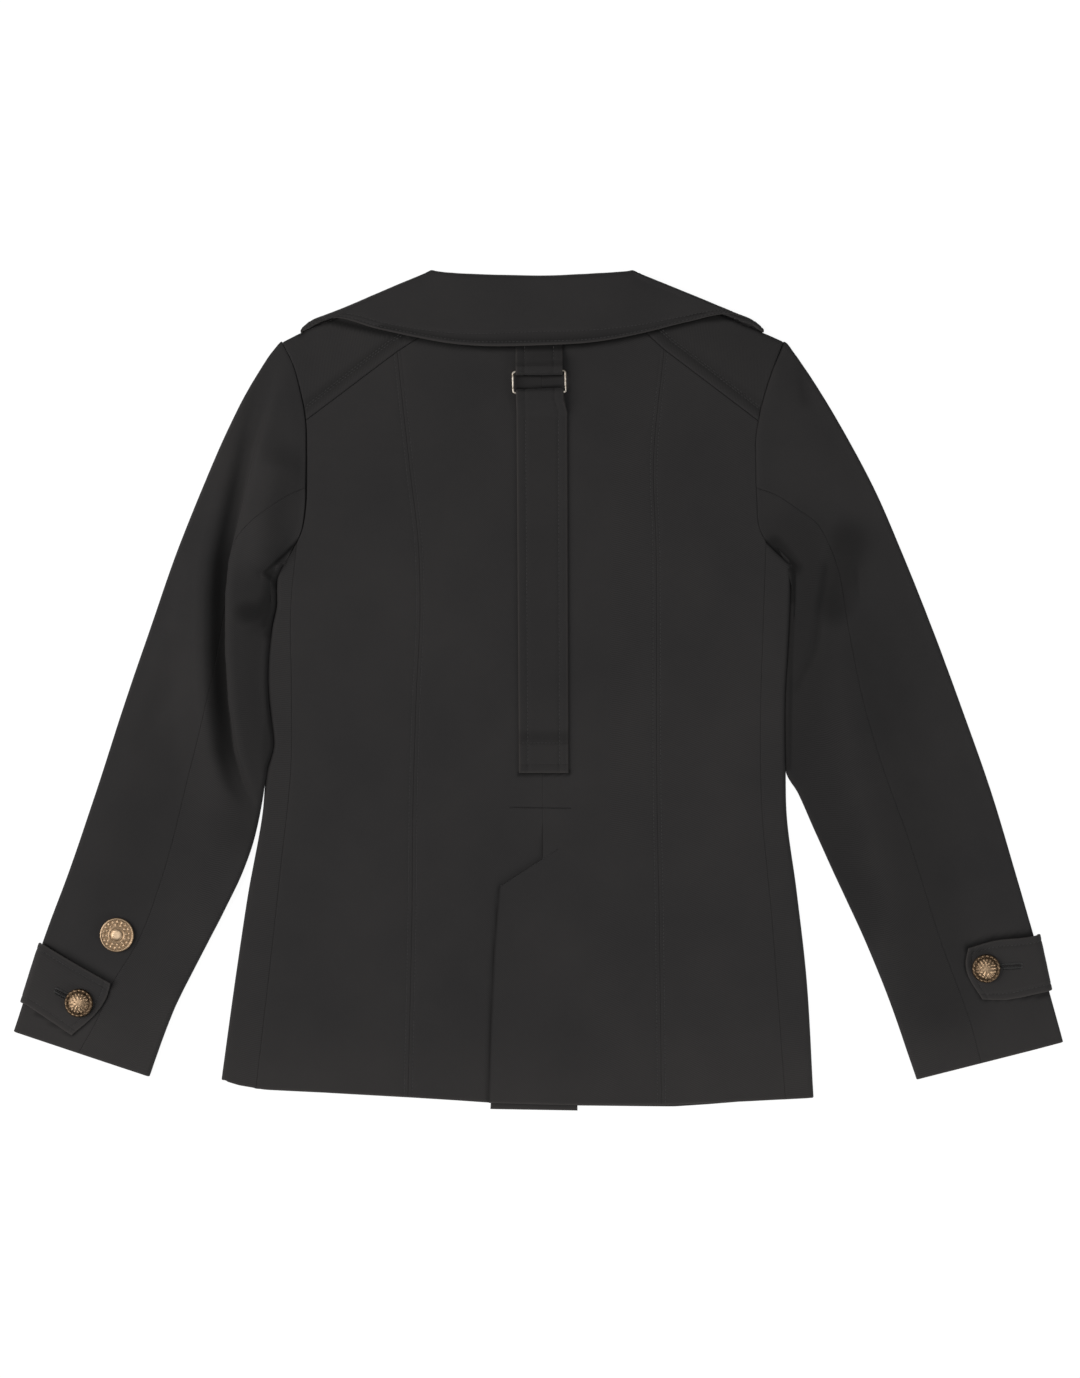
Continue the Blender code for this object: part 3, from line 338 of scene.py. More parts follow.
def bending_length(line):
    """Length along a line that counts for more where it bends, so that folds stay round."""
    step = np.diff(line, axis=0)
    length = np.linalg.norm(step, axis=1)
    way = step / np.maximum(length, 1e-9)[:, None]
    bend = np.arccos(np.clip((way[1:] * way[:-1]).sum(axis=1), -1, 1))
    bend = np.concatenate([[0], bend, [0]])
    return np.concatenate([[0], np.cumsum(length + 0.5 * BEND_SHARE * (bend[1:] + bend[:-1]))])


def respaced(lines, near, far, pitch):
    """Lines cut again: at marks in from each end, and evenly between but closer at bends."""
    bent = [bending_length(line) for line in lines]
    between = max(measure[-1] for measure in bent) - near[-1] - far[-1]
    count = max(3, int(between / pitch) + 1)
    recut = []
    for line, measure in zip(lines, bent):
        length = run_length(line)
        squeeze = min(1.0, MARKED_SHARE * length[-1] / (near[-1] + far[-1]))
        first, last = near * squeeze, length[-1] - far[::-1] * squeeze
        ends = np.interp([first[-1], last[0]], length, measure)
        middle = np.interp(np.linspace(*ends, count + 1)[1:-1], measure, length)
        recut.append(points_at(line, length, np.concatenate([first, middle, last])))
    return np.array(recut)


UPPER_CLOTH = (4.0, 2.0)      # above this height cloth swells, fully so this much higher
LOWER_CLOTH = (3.6, 1.5)      # below this height it lifts, fully so this much lower


def gentle(x, y, z):
    """How pressed cloth wanders from flat: long, low and uneven swells.

    The cloth that lies on the surface can only lift off it, and its outside faces down.
    """
    swell = (0.30 * np.sin(x / 41 + 1.3 * np.sin(y / 93)) * np.sin(y / 67 + 0.8)
             + 0.22 * np.sin(x / 23 + y / 58 + 2.1) + 0.12 * np.sin(x / 13.7 - y / 37 + 0.4))
    return swell * ease((z - UPPER_CLOTH[0]) / UPPER_CLOTH[1]) - lifting(x, y, z)


def lifting(x, y, z):
    """How cloth on the surface lifts off it a little."""
    lift = 0.45 + 0.30 * np.sin(x / 37 - y / 71 + 0.9) + 0.25 * np.sin(x / 59 + y / 29 + 2.6)
    return np.maximum(lift, 0) * ease((LOWER_CLOTH[0] - z) / LOWER_CLOTH[1])


def new_piece(name, verts, faces):
    """A smooth mesh from points in mm."""
    mesh = bpy.data.meshes.new(name)
    mesh.from_pydata((np.array(verts) * MM).tolist(), [], faces)
    mesh.shade_smooth()
    piece = bpy.data.objects.new(name, mesh)
    bpy.context.scene.collection.objects.link(piece)
    return piece


def store(piece, name, values):
    """Keeps a value for each point of a piece, for its material to read."""
    attribute = piece.data.attributes.new(name, "FLOAT", "POINT")
    attribute.data.foreach_set("value", np.ravel(values).astype(np.float32))


def outline_mesh(name, upper, lower):
    """A closed mesh from two grids of points that face each other."""
    rows, columns = upper.shape[:2]
    count = rows * columns
    index = np.arange(count).reshape(rows, columns)
    quads = np.stack([index[:-1, :-1], index[:-1, 1:], index[1:, 1:], index[1:, :-1]], axis=-1)
    quads = quads.reshape(-1, 4)
    rim = np.concatenate([index[0, :-1], index[:-1, -1], index[-1, :0:-1], index[:0:-1, 0]])
    after = np.roll(rim, -1)
    faces = np.concatenate([quads, (quads + count)[:, ::-1],
                            np.stack([after, rim, rim + count, after + count], axis=1)])
    verts = np.concatenate([upper.reshape(-1, 3), lower.reshape(-1, 3)])
    a, b, c, d = (verts[faces[:, k]] for k in range(4))
    if (a * np.cross(b, c)).sum() + (a * np.cross(c, d)).sum() < 0:
        faces = faces[:, ::-1]
    return new_piece(name, verts, faces.tolist())


SEAM_DIP = 0.08               # how deep a seam draws the cloth in, and how far from it
SEAM_REACH = 0.9
STITCH_SINK = 0.36            # the same for a row of stitches
STITCH_REACH = 0.8
PUCKER_HEIGHT = 0.05          # of the puckers along an edge
PUCKER_REACH = 5.5
SEAM_ROUND = 0.35             # radius of the cloth's edge at a seam
TURNED_ROUND = 0.55           # at a turned edge, as a share of its thickness
THINNEST = 0.08
CLEARANCE = 0.02              # the least height over the surface
EDGE_WEAR_AND_HIGHLIGHT = 0.28             # how much paler a turned edge is painted, as rubbed wear and a painted highlight, and how far in
EDGE_WEAR_AND_HIGHLIGHT_REACH = 1.2
HEM_PRESS_AND_PAINTED_LIGHT = 0.09              # how much paler a hem is painted, partly its pressed shine and partly a painted highlight
HEM_PRESS_AND_PAINTED_LIGHT_REACH = 42.0
UPPER_LAYERS = 4.6            # cloth above this height shows from above
FACING_DOWN = 0.3             # below it, painted shade fades out from this much of a downward turn


def measured(grid):
    """How far each point of a grid is across the cloth from its left side, and down it."""
    steps = [np.cumsum(np.linalg.norm(np.diff(grid, axis=way), axis=2), axis=way)
             for way in (1, 0)]
    return np.pad(steps[0], ((0, 0), (1, 0))), np.pad(steps[1], ((1, 0), (0, 0)))


def facing_out(grid):
    """The way out of the cloth at each point of a grid, up on its upper layer."""
    normal = np.cross(np.gradient(grid, axis=0), np.gradient(grid, axis=1))
    normal /= np.linalg.norm(normal, axis=2)[..., None]
    upper = grid[..., 2] >= grid[..., 2].mean() - HAIR
    return -normal if normal[..., 2][upper].sum() < 0 else normal


def drawn_in(out, from_side, runs, stitched, dips, sink):
    """A panel's relief with its seams, puckers and rows of stitches added."""
    for side, distance in from_side.items():
        run = runs[side]
        pucker = np.sin(run / 1.9 + 2.3 * np.sin(run / 11.0)) * fades(distance, PUCKER_REACH)
        out = out + PUCKER_HEIGHT * pucker - dips[side] * fades(distance, SEAM_REACH)
        for row in stitched[side]:
            drawn = 1 + 0.35 * np.sin(run / 0.95 + np.sin(run / 7.0))
            out = out - sink * drawn * fades(distance - row, STITCH_REACH)
    return out


def edges_rounded(from_side, thickness, dips, free):
    """The cloth's thickness at each point, less at its edges."""
    rounded = np.ones(from_side["top"].shape)
    for side, distance in from_side.items():
        radius = TURNED_ROUND * thickness if side in free else SEAM_ROUND
        share = 1.0 if side in free else min(1.0, 4 * dips[side])
        edge_round = np.sqrt(1 - (1 - np.clip(distance / radius, 0, 1)) ** 2)
        rounded *= 1 - share * (1 - edge_round)
    return np.maximum(THINNEST, thickness * rounded)


def panel(name, node, grid, stitched=None, thickness=CLOTH, pitch=3.6, swell=gentle, dip=(),
          puff=None, free=(), painted_shade=None, sink=STITCH_SINK):
    """A pressed panel of cloth about a grid of points, its edges rounded, its stitches drawn in.

    stitched gives, for a side of the grid, how far in each row of stitches runs, and sink how
    deep they pull. dip says how deep a side's seam is drawn in, and free names the sides that
    are a turned edge and not a seam. A function of x and y, if given, says how much shade is
    painted into the cloth there.
    The panel hides the CAD node that it stands for, and what a row of stitches needs to know
    of it is returned.
    """
    stitched = {"left": (), "right": (), "top": (), "bottom": (), **(stitched or {})}
    near = {side: marks_for(rows) for side, rows in stitched.items()}
    pitch = pitch if isinstance(pitch, tuple) else (pitch, pitch)
    grid = respaced(grid, near["left"], near["right"], pitch[0])
    grid = respaced(grid.transpose(1, 0, 2), near["top"], near["bottom"],
                    pitch[1]).transpose(1, 0, 2)
    across, down = measured(grid)
    from_side = {"left": across, "right": across[:, -1:] - across,
                 "top": down, "bottom": down[-1:] - down}
    runs = {"left": down, "right": down, "top": across, "bottom": across}
    flat = (across[:, -1].max() * MM, down[-1].max() * MM)
    cells = np.cross(grid[1:, 1:] - grid[:-1, :-1], grid[1:, :-1] - grid[:-1, 1:])
    area = 0.5 * np.linalg.norm(cells, axis=2).sum() * MM * MM

    x, y, z = (grid[..., k] for k in range(3))
    dips = {side: 0.0 if side in free else dict(dip).get(side, SEAM_DIP) for side in from_side}
    out = drawn_in(swell(x, y, z), from_side, runs, stitched, dips, sink)
    if puff:
        out = out + puff(from_side)
    normal = facing_out(grid)
    half = 0.5 * edges_rounded(from_side, thickness, dips, free)[..., None]
    middle = grid + out[..., None] * normal + np.array([*TO_MIDDLE, 0])
    upper, lower = middle + half * normal, middle - half * normal
    for layer in (upper, lower):
        layer[..., 2] = np.maximum(layer[..., 2], CLEARANCE)

    piece = outline_mesh(name, upper, lower)
    piece.data.materials.append(suiting())
    # Paler edges, partly rubbed wear and partly a painted highlight; a hem gets a wider band,
    # partly pressed shine and partly painted light.
    wear_and_highlight = np.zeros(x.shape)
    for side in free:
        wear_and_highlight = np.maximum(wear_and_highlight, EDGE_WEAR_AND_HIGHLIGHT * fades(from_side[side], EDGE_WEAR_AND_HIGHLIGHT_REACH))
    if "bottom" in free and thickness == CLOTH:
        wear_and_highlight = wear_and_highlight + HEM_PRESS_AND_PAINTED_LIGHT * fades(from_side["bottom"], HEM_PRESS_AND_PAINTED_LIGHT_REACH)
    store(piece, "edge", [wear_and_highlight, wear_and_highlight])
    # Painted shade, kept to cloth that faces up or lies in the upper layers.
    if painted_shade:
        seen = np.maximum(ease(normal[..., 2] / FACING_DOWN + 1), ease(z - UPPER_LAYERS))
        store(piece, "painted_shade", [seen * painted_shade(x, y)] * 2)
    places = np.stack([across, down], axis=-1).reshape(-1, 2) * MM
    corner = np.zeros(len(piece.data.loops), dtype=np.int32)
    piece.data.loops.foreach_get("vertex_index", corner)
    flat_places = np.concatenate([places, places])[corner]
    piece.data.uv_layers.new(name="cut").data.foreach_set("uv", flat_places.ravel())
    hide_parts(node)
    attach(piece, "root")
    return {"piece": piece, "flat": flat, "area": min(area, flat[0] * flat[1]), "upper": upper,
            "normal": normal, "from_side": from_side}


def stitch_line(made, side, distance, start=0.0, end=1.0):
    """Where a row of stitches runs at a distance in from a side, and the cloth's way up there.

    start and end are the shares of the side's length between which it runs.
    """
    far, fields = made["from_side"][side], np.dstack([made["upper"], made["normal"]])
    if side in ("top", "bottom"):
        far, fields = far.T, fields.transpose(1, 0, 2)
    points = []
    for places, field in zip(far, fields):
        order = np.argsort(places)
        points.append(points_at(field[order], places[order], distance))
    points = np.array(points)
    length = run_length(points[:, :3])
    keep = (length >= start * length[-1]) & (length <= end * length[-1])
    return points[keep]


def thread(name, deep, light):
    """Sewing thread, smoother than the cloth."""
    twist = bpy.data.materials.get(name)
    if twist:
        return twist
    twist, shader = new_finish(name, {"Roughness": 0.55, "Specular IOR Level": 0.3})
    place = add_node(twist, "TexCoord", {})
    ply = add_node(twist, "TexNoise", {"Vector": place.outputs["Object"], "Scale": 2500})
    set_inputs(shader, {"Base Color": tone_ramp(twist, ply.outputs["Fac"], (0, [deep] * 3),
                                                (1, [light] * 3))})
    return twist


STITCH_SIDES = 5
FIRST_STITCH = 0.3            # from the start of a row
# A stitch's rings: place along it, share of the full radius, and rise over the cloth.
STITCH_RINGS = [(-0.5, 0.35, -0.16), (-0.28, 1.0, 0.02), (0.28, 1.0, 0.02), (0.5, 0.35, -0.16)]
GREY_THREAD = ("grey_thread", 0.016, 0.034)
BLACK_TWIST = ("black_twist", 0.003, 0.007)


def sew(name, lines, stitch=2.3, gap=0.75, radius=0.26, yarn=GREY_THREAD):
    """Rows of stitches, each a short spindle of thread that dips into the cloth at its ends."""
    verts, faces = [], []
    for line in lines:
        length = run_length(line[:, :3])
        for start in np.arange(FIRST_STITCH, length[-1] - stitch, stitch + gap):
            here, there, between = (points_at(line, length, start + share * stitch)
                                    for share in (0, 1, 0.5))
            middle = 0.5 * (here[:3] + there[:3])
            along = unit(there[:3] - here[:3])
            side = unit(np.cross(along, between[3:]))
            up = np.cross(side, along)
            base = len(verts)
            for place, thick, rise in STITCH_RINGS:
                for angle in (2 * math.pi * k / STITCH_SIDES for k in range(STITCH_SIDES)):
                    round_it = side * math.cos(angle) + up * math.sin(angle)
                    verts.append(middle + along * place * stitch + up * rise
                                 + radius * thick * round_it)
            rings = [[base + ring * STITCH_SIDES + k for k in range(STITCH_SIDES)]
                     for ring in range(len(STITCH_RINGS))]
            for near, far in zip(rings, rings[1:]):
                for k in range(STITCH_SIDES):
                    j = (k + 1) % STITCH_SIDES
                    faces.append((near[k], near[j], far[j], far[k]))
            faces.append(tuple(rings[0][::-1]))
            faces.append(tuple(rings[-1]))
    piece = new_piece(name, verts, faces)
    piece.data.materials.append(thread(*yarn))
    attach(piece, "root")


def hem_line(hem, start, end, count):
    """The stretch of a hem under two points."""
    x = np.linspace(start[0], end[0], count)
    return np.stack([x, np.interp(x, *np.transpose(hem))], axis=1)


def back_hem(start, end):
    """The stretch of the back's hem that joins two points."""
    line = hem_line(BACK_HEM, start, end, 60)
    line[0], line[-1] = start, end
    return line


VENT_LAP_X = (48, 42)         # where the vent's lap starts to rise, and over what distance
VENT_LAP_Y = (-104, 24)


def vent_height(x, y):
    """The right middle panel laps over the left one below the vent's slanting seam."""
    return (BACK_LAYER + STEP_UP * ease((VENT_LAP_X[0] - x) / VENT_LAP_X[1])
            * ease((VENT_LAP_Y[0] - y) / VENT_LAP_Y[1]))


def between_seams(side, top, hem, outer, inner, rows, columns=34):
    """A grid from a panel's outer seam to its inner one, or from left to right on both sides."""
    if side == "left":
        return patch(top, hem, outer, inner, rows, columns)
    return patch(top[::-1], hem[::-1], inner, outer, rows, columns)


PRINCESS_STITCHES = 3.2       # how far in from the princess seams they are topstitched
PRINCESS_SINK = 0.14
LEFT_VENT_FOOT = (3, -330.4)
COLLAR_EDGE = [(-190.8, 286.0), (-185.2, 291.4), (-177.2, 294.3), (-166.8, 295.4),
               (-154, 292.6), (-127.6, 286.6), (-97.2, 281.2), (-70, 276.4), (-38.8, 274.1),
               (2, 274.9), (36, 276.6), (62, 280.4), (86, 285.6), (112, 292.0), (130, 296.4),
               (147, 298.0), (160, 297.4), (170, 294.3), (179.4, 286.6)]
STRAP_SIDES = [(-18.7, 272), (-18.5, 240), (-18.0, 222), (-16.0, -66.6), (23.8, -66.2),
               (22.7, 222), (19.6, 240), (19.0, 272)]
# Lines where shade is painted on the back, each with a strength and a width: under the
# collar's edge, beside the strap and under its square end, along the vent, and by the buckle's
# two bars.
painted_shade_under_collar = (COLLAR_EDGE, 1.0, 3.2)
painted_shade_on_back = beside(painted_shade_under_collar, (STRAP_SIDES, 0.05, 1.1), (STRAP_SIDES[3:5], 0.9, 2.0),
                      (VENT_EDGE[1:], 0.45, 1.1), ([(-17, 251.0), (18, 251.8)], 0.95, 1.3),
                      ([(-17, 241.0), (18, 241.8)], 0.95, 1.3))
back_look = {"free": ("bottom",), "painted_shade": painted_shade_on_back, "sink": PRINCESS_SINK}
for side, shape in SHAPE.items():
    inner_side = "right" if side == "left" else "left"
    armhole = stretch(smooth_line(shape["armhole"]), shape["yoke_seam"][2][1],
                      shape["side_seam"][0][1])
    outer = np.vstack([armhole, smooth_line(shape["side_seam"])[1:]])
    princess = smooth_line(shape["princess"])
    yoke_seam = straight(*shape["yoke_seam"])
    grid = between_seams(side, yoke_seam[:0:-1], back_hem(outer[-1], princess[-1]), outer,
                         princess, 150)
    back_side = panel("back_side_panel_" + side, "back_side_" + side, raised(grid, BACK_LAYER),
                      {inner_side: (PRINCESS_STITCHES,)}, **back_look)

    top = np.vstack([yoke_seam[1::-1], smooth_line(shape["neck"])[::-1][1:]])
    foot = smooth_line(VENT_EDGE[1:]) if side == "right" else [LEFT_VENT_FOOT]
    centre = np.vstack([smooth_line(CENTRE_SEAM), foot])
    grid = between_seams(side, top, back_hem(princess[-1], centre[-1]), princess, centre, 340)
    back_centre = panel("back_middle_panel_" + side, "back_centre_" + side,
                        raised(grid, vent_height if side == "right" else BACK_LAYER),
                        {side: (PRINCESS_STITCHES,)}, pitch=(2.8, 2.2),
                        dip={inner_side: 0.02}, **back_look)
    sew("princess_stitches_" + side,
        [stitch_line(back_side, inner_side, PRINCESS_STITCHES),
         stitch_line(back_centre, side, PRINCESS_STITCHES, 0.05)])

# ================================================================ vent facing
# One pressed facing of the same cloth closes the vent from behind. It hangs about 5 mm below
# the hem, and only that strip shows.

VENT_FACING = [(-29, -172), (29, -172), (30.8, -336.0), (-38.9, -334.8)]
facing = straight(*VENT_FACING)
grid = patch(facing[:2], facing[:1:-1], facing[[0, 3]], facing[[1, 2]], 60, 20)
vent_facing = panel("vent_facing", "vent_underlap", raised(grid, BACK_LAYER - STEP_UP), pitch=5,
                    free=("bottom",))

# ================================================================ fronts and lapels
# The two fronts lie against the surface, the right one outermost. Each is one piece of
# suiting whose top is turned back along the roll line as a lapel, pressed between front and
# surface.

# How much the collar, the lapels and the buttons lift the fronts, by y: over what half width,
# and how high.
LIFT_Y = [-150, -112, 30, 70, 120, 140, 175, 205, 250, 345]
LIFT_HALF = [50, 50, 50, 60, 100, 140, 190, 200, 215, 215]
LIFT_HEIGHT = [0, 1.85, 1.85, 1.85, 1.85, 1.85, 2.25, 2.25, 2.25, 2.25]
LIFT_FADE = 60.0
LAPEL_ROOM = 0.7              # between a front's roll and the lapel's
BREAK_Y = 70.0                # where the lapels end, and where their edges cross
CROSSING_Y = 122.0
FRONT_LAP_X = (-66, 40)       # where the right front's lap lifts the left one, and how fast
FRONT_LAP_Y = (165, 30)
ROLL_START = 0.12             # share of the roll line that the collar's end takes up
LAPEL_TOP_Y = 264.0
LAPEL_STITCHES = 6.0
FRONT_HEM = [(-253, -311.6), (-219, -318.2), (-173, -321.8), (-103, -325.8), (-41, -329.8),
             (31, -332.4), (108, -333.2), (136, -331.4), (168, -328.8), (219, -325.8)]
SHAPE["left"].update({
    "front_seam": [(-175, 142), (-172, 60), (-170, -40), (-176, -160), (-188, -320.8)],
    "front_armhole": [(-204.2, 276.2), (-191, 254), (-181, 228), (-175, 200), (-173, 170),
                      (-175, 142), (-182, 127), (-193.4, 118)],
    "front_yoke_seam": [(-78, 290), (-184, 236)],
    "gorge": (-66, 272),
    "break_edge": 20.0,
    "lapel_edge": [(-62, 272), (-100, 240), (-112, 184), (-74, 132), (12, 72)],
})
SHAPE["right"].update({
    "front_seam": [(163, 142), (160, 60), (158, -40), (163, -160), (172, -328.4)],
    "front_armhole": [(194.2, 276.2), (181, 254), (171, 228), (164, 200), (161, 170),
                      (163, 142), (170, 127), (181.6, 118)],
    "front_yoke_seam": [(80, 290), (174, 236)],
    "gorge": (66, 272),
    "break_edge": -16.0,
    "lapel_edge": [(62, 272), (102, 240), (114, 184), (78, 132), (-8, 72)],
})


def under_layer(x, y):
    """Height of the cloth that faces the surface."""
    half = np.interp(y, LIFT_Y, LIFT_HALF)
    height = np.interp(y, LIFT_Y, LIFT_HEIGHT)
    return FLOOR_LAYER + height * ease((half + LIFT_FADE - np.abs(x - 2)) / LIFT_FADE)


def fold_round(axis_point, outward, top, bottom, facets=10, reach=None):
    """Points of a half-round fold at one station, after its top point and before its bottom."""
    reach = 0.5 * abs(top - bottom) if reach is None else reach
    points = []
    for angle in np.linspace(0, math.pi, facets + 1)[1:-1]:
        points.append((*(np.array(axis_point) + np.array(outward) * reach * math.sin(angle)),
                       0.5 * (top + bottom) + 0.5 * (top - bottom) * math.cos(angle)))
    return points


# Creases pressed into the hidden fronts: points along each, its height and its half width.
FRONT_CREASES = [
    ([(-150, -40), (-128, -92), (-119, -150)], 1.1, 6.0),
    ([(-92, 18), (-84, -52), (-88, -96)], 0.8, 4.5),
    ([(-140, 118), (-118, 92), (-104, 54)], 1.2, 7.0),
    ([(64, -18), (79, -84), (76, -170)], 0.9, 5.5),
    ([(118, 96), (102, 61), (96, 12)], 1.2, 6.5),
    ([(138, -96), (131, -158), (143, -214)], 0.7, 4.0),
    ([(30, -212), (44, -258), (40, -300)], 0.8, 7.5),
]


def pressed_from_above(x, y, z):
    """The fronts lift off the surface here and there, in long soft creases."""
    height = lifting(x, y, z)
    for line, rise, width in FRONT_CREASES:
        height = height + rise * fades(distance_to(line, x, y), width)
    return height


for side, shape in SHAPE.items():
    armhole = stretch(smooth_line(shape["front_armhole"]), shape["front_yoke_seam"][1][1],
                      shape["front_seam"][0][1])
    outer = np.vstack([armhole, smooth_line(shape["front_seam"])[1:]])
    towards_side = np.sign(outer[0][0])
    roll_top = np.array(shape["gorge"], dtype=float)
    roll_end = np.array([shape["break_edge"], BREAK_Y])
    inset = np.array([towards_side * (0.5 * STEP_UP + 0.5 * CLOTH + LAPEL_ROOM), 0.0])
    roll = shares_of(np.array([roll_top, roll_end]) + inset, np.linspace(ROLL_START, 1, 40))
    hem_y = np.interp(shape["break_edge"], *np.transpose(FRONT_HEM))
    inner = np.vstack([roll, smooth_line([roll[-1], (shape["break_edge"], BREAK_Y - 12),
                                          (shape["break_edge"], hem_y)])[1:]])
    top = straight(roll[0], shape["front_yoke_seam"][0], outer[0])
    hem = hem_line(FRONT_HEM, inner[-1], outer[-1], 50)

    def front_height(x, y):
        """The left front is lifted where the right one laps under it."""
        if side == "right":
            return under_layer(x, y)
        return under_layer(x, y) + (STEP_UP * ease((x - FRONT_LAP_X[0]) / FRONT_LAP_X[1])
                                    * ease((FRONT_LAP_Y[0] - y) / FRONT_LAP_Y[1]))

    grid = raised(patch(top, hem, inner, outer, 150, 50), front_height)
    front = panel("front_panel_" + side, "front_" + side, grid, pitch=4.5,
                  swell=pressed_from_above, free=("bottom", "left"))

    # The left lapel ends where the right one crosses it.
    lowest = BREAK_Y + 10 if side == "right" else CROSSING_Y + 2
    edge = smooth_line(shape["lapel_edge"])
    order = np.argsort(edge[:, 1])
    rows = []
    for y in np.linspace(LAPEL_TOP_Y, lowest, 60):
        turn = np.interp(y, [roll_end[1], roll_top[1]], [roll_end[0], roll_top[0]])
        level = float(under_layer(turn, y))
        axis = turn + towards_side * (0.5 * (level - FLOOR_LAYER) + 0.5 * CLOTH)
        outline = np.interp(y, edge[order, 1], edge[order, 0])
        flat = [(x, y, FLOOR_LAYER) for x in np.linspace(outline, axis, 30)]
        rows.append(flat + fold_round((axis, y), (-towards_side, 0), FLOOR_LAYER, level, 6)
                    + [(axis, y, level)])
    lapel = panel("lapel_facing_" + side, "lapel_" + side, np.array(rows),
                  {"left": (LAPEL_STITCHES,)}, pitch=4.5, swell=lifting, free=("left",))

# ================================================================ side panels
# A panel under each arm joins back to front. Laid flat it folds along the body's edge, so a
# strip of it shows beside the back and the rest lies underneath.

# apart_below is the height down to which the sleeve lies against the body.
SHAPE["left"].update({
    "apart_below": -68.0,
    "under_arm_shade": ([(-193, 113), (-206, 101.5)], 0.3, 4.0),
    "body_edge": [
        (-206.0, 101.5), (-209.4, 92), (-209.8, 80), (-209.4, 68), (-211.9, 56), (-215.2, 41),
        (-217.2, 20), (-216.9, -4), (-214.4, -26), (-212.6, -43.6), (-217.6, -62.8),
        (-221.0, -97.2), (-232.3, -160.4), (-242.0, -224.4), (-254.1, -311.6)],
})
SHAPE["right"].update({
    "apart_below": -66.0,
    "under_arm_shade": ([(182, 120), (190, 111), (202.2, 100)], 0.6, 3.0),
    "body_edge": [
        (202.2, 101.5), (201.2, 66), (199.6, 33.2), (197.6, 1.2), (197.4, -62.8),
        (198.0, -96.4), (206.1, -160.4), (213.5, -224.4), (219.6, -325.8)],
})
FOLD_RADIUS = 0.5 * (BACK_LAYER - FLOOR_LAYER) + 0.5 * CLOTH      # outside, of the side folds

for side, shape in SHAPE.items():
    outward = np.array([np.sign(shape["body_edge"][0][0]), 0.0])
    axis = smooth_line(shape["body_edge"]) - outward * FOLD_RADIUS
    seam, front_seam = smooth_line(shape["side_seam"]), smooth_line(shape["front_seam"])
    armhole = stretch(smooth_line(shape["front_armhole"]), front_seam[0][1], seam[0][1])[::-1]
    upper = raised(patch(straight(seam[0], axis[0]), back_hem(seam[-1], axis[-1]), seam, axis,
                         110, 12), BACK_LAYER)
    hem = hem_line(FRONT_HEM, axis[-1], front_seam[-1], 30)
    lower = raised(patch(np.vstack([axis[:1], armhole]), hem, axis, front_seam, 110, 16),
                   under_layer)
    rows = [np.vstack([upper[r], fold_round(upper[r, -1, :2], outward, BACK_LAYER,
                                            lower[r, 0, 2]), lower[r]])
            for r in range(len(upper))]
    # Painted shade along the body's edge where the sleeve lies on it, and under the arm.
    touching = smooth_line(shape["body_edge"])[::6]
    touching = touching[touching[:, 1] > shape["apart_below"]]
    shade = beside((touching, 0.5, 1.8), shape["under_arm_shade"])
    side_panel = panel("under_arm_panel_" + side, "side_panel_" + side, np.array(rows),
                       free=("bottom",), painted_shade=shade)

# ================================================================ yokes
# A shoulder yoke on each side is lapped over the back and topstitched twice, about 10 mm in
# from its seam. It wraps over the shoulder, without a shoulder seam, and joins the front.

SHAPE["left"].update({
    "shoulder": [(-98.5, 324.0), (-140, 307), (-182, 289.3), (-194, 284.2), (-205, 278.4)],
    "under_topstitch": [(-65.5, 313.4), (-119, 278.5), (-192, 223.6)],
    "shoulder_shade": 0.04,
})
SHAPE["right"].update({
    "shoulder": [(94.5, 322.6), (130, 307.6), (169, 289.5), (182, 284.4), (195, 278.4)],
    "under_topstitch": [(70.7, 312.4), (106.4, 280), (181.2, 223.2)],
    "shoulder_shade": 0.13,
})
YOKE_TOPSTITCH = (9.0, 10.8)
YOKE_DIP = {"top": 0.7, "right": 0.3, "left": 0.3}
LAP_RISE = 0.55               # how proud the lapped seam stands
LAP_START = (0.1, 0.6)        # where that starts from the edge, and over what distance
LAP_WIDTH = 8                 # how far in it has died out
SHOULDER_SHADE_REACH = 45.0


def lapped(from_side):
    """The yoke stands a little proud along the seam that it is lapped over."""
    return (LAP_RISE * ease((LAP_WIDTH - from_side["top"]) / LAP_WIDTH)
            * ease((from_side["top"] - LAP_START[0]) / LAP_START[1]))


def left_of(line):
    """The way to a line's left-hand side at each of its points, seen along it."""
    along = np.gradient(line, axis=0)
    along /= np.linalg.norm(along, axis=1)[:, None]
    return np.stack([-along[:, 1], along[:, 0]], axis=1)


def moved_in(line, distance):
    """A line moved to its right-hand side, seen along it."""
    return line - distance * left_of(line)


def shoulder_axis(shape):
    """The line that the shoulder's fold turns round."""
    radius = 0.5 * (BACK_LAYER - float(under_layer(2.0, 300.0))) + 0.5 * CLOTH
    line = smooth_line(shape["shoulder"])
    line = moved_in(line, radius if line[-1][0] > 0 else -radius)
    line[-1] = shape["armhole"][0]
    return line


